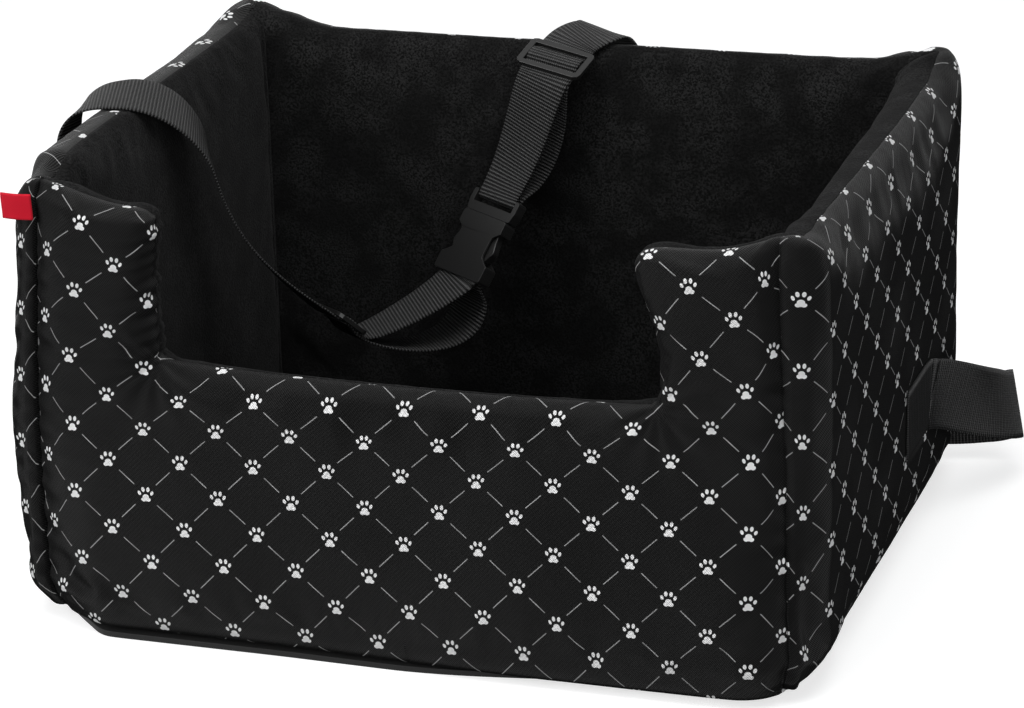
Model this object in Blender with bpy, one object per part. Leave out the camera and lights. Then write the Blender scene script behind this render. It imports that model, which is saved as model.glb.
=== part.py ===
"""Dog car seat: an open padded box with a low entry in its front wall.

Foam slabs stand between a printed cover outside and a plush lining inside, on a stiff base.
Two webbing straps hang into the cabin and meet in a side-release buckle, each with a slider.
A belt loop stands out at each rear corner. Metres, +Z up, front towards -Y, origin under the base.
"""

import math
from dataclasses import dataclass

import bmesh
import bpy
from mathutils import Matrix, Vector
from mathutils.geometry import interpolate_bezier

for old in list(bpy.data.objects):
    bpy.data.objects.remove(old)

# Box
overall_width = 0.520
overall_depth = 0.400
wall_height = 0.300
clearance = 0.0003
ear_rise = 0.008
ear_power = 6

# Padded walls
foam_thickness = 0.0260
cover_thickness = 0.0014
lining_thickness = 0.0020
rim_radius = 0.0110
panel_corner_radius = 0.0130
front_crown = 0.0050
front_crown_reach = 0.0160
side_crown = 0.0050
rear_crown = 0.0030
wide_crown_reach = 0.0900
lining_crown = 0.0030
lining_crown_margin = 0.0040

# Entry in the front wall
entry_width = 0.324
lip_height = 0.195
lip_sag = 0.0050
post_slope = 0.0100
entry_corner_radius = 0.0080

# Floor
base_thickness = 0.0040
base_inset = 0.0060
base_corner_radius = 0.0300
base_edge_radius = 0.0012
board_thickness = 0.0040
board_corner_radius = 0.0100
pad_thickness = 0.0240
pad_crown = 0.0060
pad_rim_radius = 0.0090
pad_draw_in = 0.0020
pad_corner_radius = 0.0200

# Webbing
strap_width = 0.0400
strap_thickness = 0.0012
strap_patch = 0.0300
strap_lead = 0.0040

# Rear strap: sewn outside the rear wall, over its top, down to the plug
rear_anchor_height = 0.1500
rear_anchor_side = 0.0300
rear_crest_side = 0.0120
rear_crest_inward = 0.0040
rear_crest_rise = 0.0065
rear_loop_slack = 0.0140
rear_anchor_way = Vector((0.0, 0.12, 0.99))
rear_crest_way = Vector((-0.45, -0.89, 0.0))
rear_crest_across = Vector((0.87, -0.45, -0.15))
rear_arch_shares = (0.55, 0.17)
rear_entry_shares = (0.35, 0.35)
rear_hang_shares = (0.22, 0.45)

# Left strap: sewn outside the left wall, over its top, down to the socket
left_anchor_height = 0.1600
left_anchor_along = -0.0500
left_crest_along = -0.0340
left_crest_inward = 0.0090
left_crest_rise = 0.0098
left_bend_along = -0.0080
left_bend_inward = 0.0570
left_bend_drop = 0.0410
left_loop_slack = 0.0280
left_anchor_way = Vector((-0.35, 0.0, 0.94))
left_crest_way = Vector((0.97, 0.24, 0.0))
left_crest_across = Vector((0.0, 0.97, 0.20))
left_bend_way = Vector((0.10, 0.22, -0.97))
left_bend_across = Vector((-0.46, 0.88, 0.15))
left_arch_shares = (0.74, 0.40)
left_bend_shares = (0.40, 0.34)
left_entry_shares = (0.42, 0.38)
left_hang_shares = (0.12, 0.14)

# Sliders
slider_bar = 0.0040
slider_slot = 0.0070
slider_middle_bar = 0.0045
slider_side_bar = 0.0045
slider_thickness = 0.0030
slider_middle_thickness = 0.0022
slider_corner_radius = 0.0040
slider_edge_radius = 0.0007

# Buckle
buckle_side_play = 0.0010
buckle_rail = 0.0042
buckle_thickness = 0.0110
buckle_bar = 0.0040
plug_slot = 0.0050
plug_bridge = 0.0070
plug_thickness = 0.0078
socket_length = 0.0467
socket_wall = 0.0018
socket_neck = 0.0097
socket_window = 0.0240
socket_partition = 0.0028
socket_mouth_half = 0.0200
waist_half = 0.0165
arm_thickness = 0.0056
arm_width = 0.0036
arm_pivot_radius = 0.0018
arm_ramp = 0.0140
arm_belly_share = 0.36
arm_root_share = 0.9
arm_tip_share = 0.75
arm_tip_length = 0.0080
arm_head_bulge = 0.0031
arm_head_width = 0.0075
guide_half = 0.0032
guide_length = 0.0240
guide_thickness = 0.0030
hardware_edge_radius = 0.0008

# Where the hanging hardware lies
rear_slider_forward = 0.0130
rear_slider_side = -0.0090
rear_slider_drop = 0.0050
buckle_shares = (-0.167, 0.645, 0.662)
left_slider_shares = (-0.531, 0.255, 0.433)
rear_slider_up = Vector((0.28, 0.87, 0.40))
rear_slider_across = Vector((0.93, -0.32, -0.17))
buckle_up = Vector((0.343, 0.490, 0.800))
buckle_across = Vector((0.824, -0.566, -0.005))
left_slider_up = Vector((-0.60, -0.42, 0.68))
left_slider_across = Vector((-0.717, 0.690, -0.095))

# Belt loops
loop_width = 0.0480
loop_thickness = 0.0014
loop_patch = 0.0560
loop_lift = 0.0670
loop_front_height = 0.0745
loop_middle_height = 0.0560
loop_rear_height = 0.0460
loop_reach = 0.0520
loop_turn = 0.0100
loop_rear_patch = 0.0480
loop_rear_start = 0.0330
loop_way = Vector((0.1, 1.0, -0.15))
loop_lean = Vector((-0.25, 0.30, 0.92))
loop_front_shares = (0.30, 0.45)
loop_rear_shares = (0.60, 0.45)

# Side tag
tag_width = 0.0205
tag_height = 0.0170
tag_thickness = 0.0012
tag_stand_out = 0.0060
tag_below_corner = 0.0060

# Mesh steps
rim_steps = 4
rim_end_share = 0.05
pad_rim_angles = (0, 45, 90)
crown_shares = (0.3, 0.65, 1.0)
front_crown_shares = (0.4, 1.0)
edge_steps = 4
corner_steps = 2
sharpest_corner = 0.0006
band_steps = 10
short_band_steps = 6
hanging_steps = 12
slack_lowest_share = 2 / 3
turn_steps = 8
rod_sides = 12
smooth_angle = math.radians(35)
bevel_angle = math.radians(40)
overrun = 0.0050

wall_thickness = foam_thickness + cover_thickness + lining_thickness + 2 * clearance
half_width = overall_width / 2
half_depth = overall_depth / 2
half_wall = wall_thickness / 2
wall_foot = base_thickness + clearance
inner_half_width = half_width - wall_thickness
inner_half_depth = half_depth - wall_thickness
seam_gap_half = clearance / 2
strap_half = strap_thickness / 2

# Each material's colour and roughness
FINISHES = {
    "printed_cover": ((0.012, 0.012, 0.013), 0.55),
    "plush_lining": ((0.006, 0.006, 0.0065), 0.95),
    "foam": ((0.30, 0.30, 0.31), 0.90),
    "base_fabric": ((0.010, 0.010, 0.010), 0.80),
    "board": ((0.10, 0.10, 0.10), 0.60),
    "webbing": ((0.015, 0.015, 0.016), 0.60),
    "belt_webbing": ((0.015, 0.015, 0.016), 0.60),
    "black_plastic": ((0.022, 0.022, 0.023), 0.35),
    "red_tag": ((0.55, 0.010, 0.020), 0.60),
}


def material(name):
    """A Principled material from the table, made once for each name."""
    found = bpy.data.materials.get(name)
    if found:
        return found
    colour, roughness = FINISHES[name]
    made = bpy.data.materials.new(name)
    made.use_nodes = True
    shader = made.node_tree.nodes["Principled BSDF"]
    shader.inputs["Base Color"].default_value = (*colour, 1.0)
    shader.inputs["Roughness"].default_value = roughness
    return made


def finished(name, bm, finish, matrix=None, smooth=True):
    """Turns a bmesh into a named object with the material called finish; matrix places it in the world."""
    bmesh.ops.recalc_face_normals(bm, faces=bm.faces)
    mesh = bpy.data.meshes.new(name)
    bm.to_mesh(mesh)
    bm.free()
    if smooth:
        mesh.shade_smooth()
        mesh.set_sharp_from_angle(angle=smooth_angle)
    mesh.materials.append(material(finish))
    made = bpy.data.objects.new(name, mesh)
    bpy.context.scene.collection.objects.link(made)
    if matrix is not None:
        made.matrix_world = matrix
    return made


def loft(bm, rings, cap_start=True, cap_end=True):
    """Skins rings of equally many points with quads, and closes the two ends."""
    loops = [[bm.verts.new(point) for point in ring] for ring in rings]
    for lower, upper in zip(loops, loops[1:]):
        count = len(lower)
        for i in range(count):
            j = (i + 1) % count
            bm.faces.new((lower[i], lower[j], upper[j], upper[i]))
    if cap_start:
        bm.faces.new(loops[0])
    if cap_end:
        bm.faces.new(loops[-1])
    return loops


def rounded_outline(corners, inset, steps=edge_steps):
    """Points round a polygon of (along, up, radius) corners, moved in by inset, with arcs at its corners."""
    count = len(corners)
    spots = [Vector(corner[:2]) for corner in corners]
    arcs = []
    for i, spot in enumerate(spots):
        coming = (spot - spots[i - 1]).normalized()
        going = (spots[(i + 1) % count] - spot).normalized()
        turn = math.atan2(coming.cross(going), coming.dot(going))
        radius = corners[i][2] - math.copysign(inset, turn)
        radius = max(radius, sharpest_corner)
        left_of = Vector((-coming.y, coming.x))
        bisector = (left_of + Vector((-going.y, going.x))).normalized()
        moved = spot + bisector * inset / math.cos(turn / 2)
        reach = radius * math.tan(abs(turn) / 2)
        centre = moved - coming * reach + left_of * math.copysign(radius, turn)
        start = moved - coming * reach - centre
        arc = []
        for k in range(corner_steps + 1):
            angle = turn * k / corner_steps
            arc.append(centre + Matrix.Rotation(angle, 2) @ start)
        arcs.append(arc)
    points = []
    for i, arc in enumerate(arcs):
        points.extend(arc)
        following = arcs[(i + 1) % count][0]
        for k in range(1, steps):
            points.append(arc[-1].lerp(following, k / steps))
    return points


@dataclass
class Puff:
    """How one face of a wall puffs out past its rim."""

    start: float
    reach: float
    crown: float
    shares: tuple


@dataclass
class Wall:
    """One padded wall: its face's corners, where it stands, its two faces, and how much of its ends is print."""

    corners: list
    place: object
    outer: Puff
    inner: Puff
    end_wrap: float


def eared(up, along, half_length):
    """The height of a point of a wall, raised towards the wall's upper corners."""
    share = (up - wall_foot) / (wall_height - wall_foot)
    return up + ear_rise * share**2 * abs(along / half_length) ** ear_power


def sagged(up, along):
    """The height of a point of the front wall, lowered towards the middle of the entry's lip."""
    middle = max(0.0, 1 - (2 * along / entry_width) ** 2)
    return up - lip_sag * min(up / lip_height, 1.0) * middle


def place_front(along, outward, up):
    return Vector((along, half_wall - half_depth - outward, eared(sagged(up, along), along, half_width)))


def place_rear(along, outward, up):
    return Vector((along, half_depth - half_wall + outward, eared(up, along, half_width)))


def place_left(along, outward, up):
    return Vector((half_wall - half_width - outward, along, eared(up, along, half_depth)))


def place_right(along, outward, up):
    return Vector((half_width - half_wall + outward, along, eared(up, along, half_depth)))


def panel_corners(half_length):
    """The corners of a plain rectangular wall."""
    radius = panel_corner_radius
    return [
        (-half_length, wall_foot, radius),
        (half_length, wall_foot, radius),
        (half_length, wall_height, radius),
        (-half_length, wall_height, radius),
    ]


def front_corners(half_length):
    """The corners of the front wall: a post at each end and the low lip between them."""
    radius = panel_corner_radius
    entry = entry_width / 2
    post_inner = wall_height - post_slope
    return [
        (-half_length, wall_foot, radius),
        (half_length, wall_foot, radius),
        (half_length, wall_height, radius),
        (entry, post_inner, radius),
        (entry, lip_height, entry_corner_radius),
        (-entry, lip_height, entry_corner_radius),
        (-entry, post_inner, radius),
        (-half_length, wall_height, radius),
    ]


between_sides = inner_half_width - clearance
lining_start = wall_thickness + lining_crown_margin
plain_inner = Puff(lining_start, wide_crown_reach, lining_crown, crown_shares)
side_outer = Puff(rim_radius, wide_crown_reach, side_crown, crown_shares)
rear_outer = Puff(rim_radius, wide_crown_reach, rear_crown, crown_shares)
front_outer = Puff(rim_radius, front_crown_reach, front_crown, front_crown_shares)
front_inner = Puff(rim_radius, front_crown_reach, 0.0, ())
WALLS = {
    "front": Wall(front_corners(between_sides), place_front, front_outer, front_inner, 0.0),
    "rear": Wall(panel_corners(between_sides), place_rear, rear_outer, plain_inner, 0.0),
    "left": Wall(panel_corners(half_depth), place_left, side_outer, plain_inner, 1.0),
    "right": Wall(panel_corners(half_depth), place_right, side_outer, plain_inner, 1.0),
}


def rim_point(share, outset):
    """(inset, height) on the rim, from its middle at share 0 to the outer face at 1 and the inner one at -1."""
    flat = half_wall - rim_radius
    flat_share = flat / (flat + rim_radius * math.pi / 2)
    amount = abs(share)
    if amount <= flat_share:
        return outset, flat * share / flat_share
    angle = math.pi / 2 * (amount - flat_share) / (1 - flat_share)
    bend = rim_radius - outset
    return rim_radius - bend * math.cos(angle), math.copysign(flat + bend * math.sin(angle), share)


def face_steps(outset, puff, side):
    """(inset, height) pairs out over one puffed face of a wall."""
    steps = []
    if puff.start > rim_radius:
        steps.append((puff.start, side * (half_wall - outset)))
    for share in puff.shares:
        rise = puff.crown * (1 - (1 - share) ** 2)
        steps.append((puff.start + share * puff.reach, side * (half_wall - outset + rise)))
    return steps


def end_weights(wall):
    """How far each point of a wall's outline belongs to one of its upright ends."""
    half_length = wall.corners[1][0]
    weights = []
    for spot in rounded_outline(wall.corners, 0.0):
        share = max(0.0, 1 - (half_length - abs(spot.x)) / panel_corner_radius)
        weights.append(share * share * (3 - 2 * share))
    return weights


def wall_rings(wall, outset, side):
    """The rings of one skin of a wall, from its seam round the rim and over its face; side is 1 outside."""
    puff = wall.outer if side > 0 else wall.inner
    seam = side * seam_gap_half / (half_wall - rim_radius + rim_radius * math.pi / 2)
    weights = end_weights(wall)
    rings = []
    for k in range(rim_steps + 1):
        ring = []
        for i, weight in enumerate(weights):
            first = seam - wall.end_wrap * weight * (1 - rim_end_share)
            inset, height = rim_point(first + (side - first) * k / rim_steps, outset)
            spot = rounded_outline(wall.corners, inset)[i]
            ring.append(wall.place(spot.x, height, spot.y))
        rings.append(ring)
    for inset, height in face_steps(outset, puff, side):
        outline = rounded_outline(wall.corners, inset)
        rings.append([wall.place(spot.x, height, spot.y) for spot in outline])
    return rings


def split_quads(bm):
    """Splits each quad along its shorter diagonal, so that neighbouring layers fold alike."""
    quads = [face for face in bm.faces if len(face.verts) == 4]
    bmesh.ops.triangulate(bm, faces=quads, quad_method="SHORT_EDGE")


def make_skin(name, wall, side, thickness, finish):
    """A cover or a lining: a thin shell over one face of the foam and its share of the rim."""
    bm = bmesh.new()
    loft(bm, wall_rings(wall, 0.0, side)[::-1] + wall_rings(wall, thickness, side))
    split_quads(bm)
    return finished(name, bm, finish)


def make_foam(name, wall):
    """The foam slab inside a wall, a clearance away from both skins."""
    outer = wall_rings(wall, cover_thickness + clearance, 1)
    inner = wall_rings(wall, lining_thickness + clearance, -1)
    bm = bmesh.new()
    loft(bm, outer[::-1] + inner)
    split_quads(bm)
    return finished(name, bm, "foam")


def make_walls():
    for name, wall in WALLS.items():
        make_foam(f"{name}_foam", wall)
        make_skin(f"{name}_cover", wall, 1, cover_thickness, "printed_cover")
        make_skin(f"{name}_lining", wall, -1, lining_thickness, "plush_lining")


def rectangle(half_x, half_y, radius):
    return [
        (-half_x, -half_y, radius),
        (half_x, -half_y, radius),
        (half_x, half_y, radius),
        (-half_x, half_y, radius),
    ]


def make_plate(name, half_x, half_y, radius, bottom, thickness, edge, finish):
    """A flat plate with rounded corners and softened edges."""
    corners = rectangle(half_x, half_y, radius)
    levels = [(edge, 0.0), (0.0, edge), (0.0, thickness - edge), (edge, thickness)]
    rings = []
    for inset, height in levels:
        outline = rounded_outline(corners, inset, 1)
        rings.append([Vector((spot.x, spot.y, bottom + height)) for spot in outline])
    bm = bmesh.new()
    loft(bm, rings)
    return finished(name, bm, finish)


def drawn_in(spot, half_x, half_y):
    """A point of the pad's outline, pulled in most at the middle of each side."""
    pull_x = pad_draw_in * (1 - (spot.y / half_y) ** 2) * spot.x / half_x
    pull_y = pad_draw_in * (1 - (spot.x / half_x) ** 2) * spot.y / half_y
    return Vector((spot.x - pull_x, spot.y - pull_y))


def make_floor_pad():
    """The padded floor: flat underneath, crowned on top, its sides drawn in between the corners."""
    half_x = inner_half_width - clearance
    half_y = inner_half_depth - clearance
    bottom = base_thickness + board_thickness + 2 * clearance
    corners = rectangle(half_x, half_y, pad_corner_radius)
    profile = [(pad_rim_radius, 0.0)]
    for degrees in pad_rim_angles[1:]:
        angle = math.radians(degrees)
        swing = pad_rim_radius * math.sin(angle)
        profile.append((pad_rim_radius - swing, pad_rim_radius * (1 - math.cos(angle))))
    for degrees in pad_rim_angles:
        angle = math.radians(degrees)
        inset = pad_rim_radius * (1 - math.cos(angle))
        profile.append((inset, pad_thickness - pad_rim_radius * (1 - math.sin(angle))))
    for share in crown_shares:
        inset = pad_rim_radius + share * wide_crown_reach
        profile.append((inset, pad_thickness + pad_crown * (1 - (1 - share) ** 2)))
    rings = []
    for inset, height in profile:
        outline = rounded_outline(corners, inset)
        flat = [drawn_in(spot, half_x, half_y) for spot in outline]
        rings.append([Vector((spot.x, spot.y, bottom + height)) for spot in flat])
    bm = bmesh.new()
    loft(bm, rings)
    return finished("floor_pad", bm, "plush_lining")


def make_floor():
    make_plate(
        "base_panel",
        half_width - base_inset,
        half_depth - base_inset,
        base_corner_radius,
        0.0,
        base_thickness,
        base_edge_radius,
        "base_fabric",
    )
    make_plate(
        "base_board",
        inner_half_width - clearance,
        inner_half_depth - clearance,
        board_corner_radius,
        base_thickness + clearance,
        board_thickness,
        base_edge_radius,
        "board",
    )
    make_floor_pad()


def frame_of(origin, across, up):
    """A matrix with X across the webbing, Y up along it and Z out of its face."""
    up = up.normalized()
    side = (across - up * across.dot(up)).normalized()
    face = side.cross(up)
    turn = Matrix((side, up, face)).transposed().to_4x4()
    return Matrix.Translation(origin) @ turn


def inside_box(shares):
    """A place given as shares of half the width, half the depth and the wall height."""
    return Vector((shares[0] * half_width, shares[1] * half_depth, shares[2] * wall_height))


rear_slider_frame = frame_of(
    Vector((rear_slider_side, inner_half_depth - rear_slider_forward, wall_height - rear_slider_drop)),
    rear_slider_across,
    rear_slider_up,
)
left_slider_frame = frame_of(inside_box(left_slider_shares), left_slider_across, left_slider_up)
buckle_frame = frame_of(inside_box(buckle_shares), buckle_across, buckle_up)

slider_half_length = slider_middle_bar / 2 + slider_slot + slider_bar
strap_opening_half = strap_width / 2 + buckle_side_play
slider_half_width = strap_opening_half + slider_side_bar
under_outer_bar = slider_thickness / 2 + clearance + strap_half
over_middle_bar = slider_middle_thickness / 2 + clearance + strap_half
second_layer = strap_thickness + clearance
bar_turn_radius = buckle_bar / 2 + clearance + strap_half
bar_room = bar_turn_radius + strap_half + clearance
buckle_half_width = strap_opening_half + buckle_rail
plug_foot = -(buckle_bar / 2 + plug_slot + plug_bridge)
socket_top = plug_foot - clearance
socket_bottom = socket_top - socket_length
window_top = socket_top - socket_neck
window_bottom = window_top - socket_window
socket_bar_y = window_bottom - socket_partition - bar_room


@dataclass
class Path:
    """A run of webbing: the middles of its cross-sections and the way across each."""

    middles: list
    acrosses: list

    def __add__(self, other):
        return Path(self.middles + other.middles, self.acrosses + other.acrosses)

    def reverse(self):
        return Path(self.middles[::-1], self.acrosses[::-1])


def spread(first, last, count):
    """Directions that turn evenly from the first to the last."""
    last = last.normalized()
    return [first.normalized().lerp(last, i / (count - 1)).normalized() for i in range(count)]


def bent(start, start_way, end, end_way, shares, acrosses, count=band_steps):
    """A bend from start to end; shares of their distance say how far it keeps to its two end directions."""
    distance = (end - start).length
    first = start + start_way.normalized() * distance * shares[0]
    second = end - end_way.normalized() * distance * shares[1]
    return Path(interpolate_bezier(start, first, second, end, count), spread(*acrosses, count))


def make_band(name, path, width, thickness, finish):
    """A flat webbing band of rectangular section along a path."""
    rings = []
    last = len(path.middles) - 1
    for i, middle in enumerate(path.middles):
        tangent = (path.middles[min(i + 1, last)] - path.middles[max(i - 1, 0)]).normalized()
        across = path.acrosses[i]
        side = (across - tangent * across.dot(tangent)).normalized() * width / 2
        face = tangent.cross(side).normalized() * thickness / 2
        below, above = middle - face, middle + face
        rings.append([below - side, below + side, above + side, above - side])
    bm = bmesh.new()
    loft(bm, rings)
    return finished(name, bm, finish)


def in_frame(frame, pairs, side=1):
    """A path through (y, z) pairs on the middle line of a slider's or buckle's frame."""
    across = frame.col[0].to_3d() * side
    return Path([frame @ Vector((0.0, y, z)) for y, z in pairs], [across] * len(pairs))


def through_slider():
    """(y, z) pairs behind the outer bars of a slider and over its middle bar, from +y to -y."""
    near = slider_middle_bar / 2 + clearance
    far = slider_middle_bar / 2 + slider_slot - clearance
    middle = (over_middle_bar - under_outer_bar) / 2
    swing = (over_middle_bar + under_outer_bar) / 2
    steps = turn_steps // 2
    falling = [
        (near + (far - near) * k / steps, middle + swing * math.cos(math.pi * k / steps))
        for k in range(steps + 1)
    ]
    rising = falling[::-1]
    return [(slider_half_length, -under_outer_bar), *rising, *[(-y, z) for y, z in falling]]


def behind_slider():
    """(y, z) pairs of the sewn end, from behind the lower outer bar up to the back of the middle bar."""
    deep = -(under_outer_bar + second_layer)
    near = slider_middle_bar / 2
    return [(-slider_half_length + slider_bar, deep), (-near, -over_middle_bar), (near, -over_middle_bar)]


def round_bar(bar_y, way):
    """(y, z) pairs round a buckle's bar, from its front to its back, past the side that way gives."""
    pairs = []
    for k in range(turn_steps + 1):
        angle = math.pi * k / turn_steps
        pairs.append((bar_y + way * bar_turn_radius * math.sin(angle), bar_turn_radius * math.cos(angle)))
    return pairs


def hanging(share):
    """How far the slack layer hangs at a share of its run, as a share of its lowest point's."""
    lowest = slack_lowest_share
    return share**2 * (1 - share) / (lowest**2 * (1 - lowest))


def layers(slider, bar_y, mouth_y, way, shares, slack):
    """The two layers of webbing between a slider and a buckle: the front one, and the slack one behind it."""
    start = slider @ Vector((0.0, -slider_half_length, 0.0))
    end = buckle_frame @ Vector((0.0, mouth_y, 0.0))
    acrosses = (slider.col[0].to_3d(), buckle_frame.col[0].to_3d() * -way)
    slider_way = -slider.col[1].to_3d()
    buckle_way = buckle_frame.col[1].to_3d() * way
    base = bent(start, slider_way, end, buckle_way, shares, acrosses, hanging_steps)
    last = len(base.middles) - 1
    front = Path([], [])
    back = Path([], [])
    for i, middle in enumerate(base.middles):
        tangent = (base.middles[min(i + 1, last)] - base.middles[max(i - 1, 0)]).normalized()
        face = tangent.cross(base.acrosses[i]).normalized()
        share = i / last
        eased = share * share * (3 - 2 * share)
        raised = (1 - eased) * -under_outer_bar + eased * bar_turn_radius
        lowered = (1 - eased) * -(under_outer_bar + second_layer) - eased * bar_turn_radius
        front += Path([middle + face * raised], [base.acrosses[i]])
        back += Path([middle + face * (lowered - slack * hanging(share))], [base.acrosses[i]])
    return front, back


def make_strap(name, over_wall, slider, bar_y, mouth_y, way, shares, slack):
    """One strap: up the outside, over the wall, through its slider, round the buckle's bar and back."""
    front, back = layers(slider, bar_y, mouth_y, way, shares, slack)
    passing = in_frame(slider, through_slider())
    turning = in_frame(buckle_frame, round_bar(bar_y, way), -way)
    ending = in_frame(slider, behind_slider())
    path = over_wall + passing + front + turning + back.reverse() + ending
    return make_band(name, path, strap_width, strap_thickness, "webbing")


def make_rear_strap():
    """The strap that is sewn outside the rear wall."""
    proud = half_depth + rear_crown + clearance + strap_half
    foot = Vector((rear_anchor_side, proud, rear_anchor_height))
    lift_off = foot + Vector((0.0, 0.0, strap_patch))
    crest = Vector((rear_crest_side, half_depth - rear_crest_inward, wall_height + rear_crest_rise))
    entry = rear_slider_frame @ Vector((0.0, slider_half_length + strap_lead, -under_outer_bar))
    level = Vector((1, 0, 0))
    slider_across = rear_slider_frame.col[0].to_3d()
    patch = Path([foot], [level])
    rising = bent(
        lift_off, rear_anchor_way, crest, rear_crest_way, rear_arch_shares, (level, rear_crest_across)
    )
    turning = (rear_crest_across, slider_across)
    falling = bent(
        crest, rear_crest_way, entry, -rear_slider_up, rear_entry_shares, turning, short_band_steps
    )
    falling.middles.pop(0)
    falling.acrosses.pop(0)
    mouth = buckle_bar / 2 + strap_lead
    route = patch + rising + falling
    make_strap(
        "rear_strap", route, rear_slider_frame, 0.0, mouth, -1, rear_hang_shares, rear_loop_slack
    )


def make_left_strap():
    """The strap that is sewn outside the left wall."""
    proud = -half_width - side_crown - clearance - strap_half
    foot = Vector((proud, left_anchor_along, left_anchor_height))
    lift_off = foot + Vector((0.0, 0.0, strap_patch))
    crest = Vector((left_crest_inward - half_width, left_crest_along, wall_height + left_crest_rise))
    bend = Vector((left_bend_inward - half_width, left_bend_along, wall_height - left_bend_drop))
    entry = left_slider_frame @ Vector((0.0, slider_half_length + strap_lead, -under_outer_bar))
    level = Vector((0, 1, 0))
    slider_across = left_slider_frame.col[0].to_3d()
    patch = Path([foot], [level])
    rising = bent(
        lift_off, left_anchor_way, crest, left_crest_way, left_arch_shares, (level, left_crest_across)
    )
    over = bent(
        crest, left_crest_way, bend, left_bend_way, left_bend_shares, (left_crest_across, left_bend_across)
    )
    falling = bent(
        bend, left_bend_way, entry, -left_slider_up, left_entry_shares, (left_bend_across, slider_across)
    )
    for run in (over, falling):
        run.middles.pop(0)
        run.acrosses.pop(0)
    mouth = socket_bottom - clearance
    route = patch + rising + over + falling
    make_strap(
        "left_strap", route, left_slider_frame, socket_bar_y, mouth, 1, left_hang_shares, left_loop_slack
    )


def prism(outline, bottom, top):
    """A bmesh of an outline in X and Y, drawn up from bottom to top."""
    bm = bmesh.new()
    loft(bm, [[Vector((x, y, height)) for x, y in outline] for height in (bottom, top)])
    return bm


def softened(body, width):
    """Breaks the edges of a rigid piece with a live Bevel."""
    bevel = body.modifiers.new("soft edges", "BEVEL")
    bevel.width = width
    bevel.segments = 1
    bevel.limit_method = "ANGLE"
    bevel.angle_limit = bevel_angle


def combine(body, name, bm, matrix, operation="DIFFERENCE"):
    """Cuts a hidden shape out of the body, or joins it on, with a live Boolean."""
    tool = finished(f"{name}_tool", bm, "black_plastic", matrix, smooth=False)
    tool.hide_render = True
    tool.display_type = "WIRE"
    boolean = body.modifiers.new(name, "BOOLEAN")
    boolean.operation = operation
    boolean.solver = "EXACT"
    boolean.object = tool


def block(half_x, low_y, high_y, low_z, high_z):
    """A plain box, even about X = 0."""
    outline = [(-half_x, low_y), (half_x, low_y), (half_x, high_y), (-half_x, high_y)]
    return prism(outline, low_z, high_z)


def round_rod(half_x, y):
    """A round bar along X, at a height in Y."""
    radius = buckle_bar / 2
    circle = []
    for k in range(rod_sides):
        angle = math.tau * k / rod_sides
        circle.append((y + math.cos(angle) * radius, math.sin(angle) * radius))
    bm = bmesh.new()
    loft(bm, [[Vector((x, up, out)) for up, out in circle] for x in (-half_x, half_x)])
    return bm


def make_slider(name, frame):
    """A three-bar slider: a rounded plate with two slots and a thinner middle bar."""
    half = slider_thickness / 2
    past = half + overrun
    corners = rectangle(slider_half_width, slider_half_length, slider_corner_radius)
    outline = rounded_outline(corners, 0.0, 1)
    body = finished(name, prism(outline, -half, half), "black_plastic", frame)
    across = strap_opening_half
    inner = slider_middle_bar / 2
    outer = inner + slider_slot
    combine(body, f"{name}_upper_slot", block(across, inner, outer, -past, past), frame)
    combine(body, f"{name}_lower_slot", block(across, -outer, -inner, -past, past), frame)
    thin = slider_middle_thickness / 2
    reach = inner + slider_slot / 2
    combine(body, f"{name}_front_step", block(across, -reach, reach, thin, past), frame)
    combine(body, f"{name}_back_step", block(across, -reach, reach, -past, -thin), frame)
    softened(body, slider_edge_radius)


def mirrored(corners):
    """An outline's corners with their mirror images about X = 0, for one that runs up its right side."""
    return corners + [(-x, y, radius) for x, y, radius in corners[::-1]]


def make_plug(frame):
    """The plug of the buckle without its arms: strap bar, slot, bridge and the guide between the arms."""
    half = plug_thickness / 2
    top = buckle_bar / 2
    edge = hardware_edge_radius
    corners = [
        (guide_half, plug_foot - guide_length, guide_half / 2),
        (guide_half, plug_foot, edge),
        (buckle_half_width - buckle_rail / 2, plug_foot, edge),
        (buckle_half_width, plug_foot + plug_bridge, buckle_rail),
        (buckle_half_width, top, buckle_bar / 2),
    ]
    outline = rounded_outline(mirrored(corners), 0.0, 1)
    body = finished("plug", prism(outline, -half, half), "black_plastic", frame)
    slot_foot = -top - plug_slot
    past = half + overrun
    reach = strap_opening_half
    combine(body, "plug_slot", block(reach, slot_foot, top + overrun, -past, past), frame)
    low = plug_foot - guide_length - overrun
    thin = guide_thickness / 2
    combine(body, "plug_guide_front", block(buckle_half_width, low, plug_foot, thin, past), frame)
    combine(body, "plug_guide_back", block(buckle_half_width, low, plug_foot, -past, -thin), frame)
    combine(body, "plug_bar", round_rod(buckle_half_width - buckle_rail / 2, 0.0), frame, "UNION")
    softened(body, edge / 2)


arm_outer = socket_mouth_half - 2 * clearance
arm_inner = arm_outer - arm_width
arm_pivot_y = socket_top - clearance - arm_pivot_radius


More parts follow.
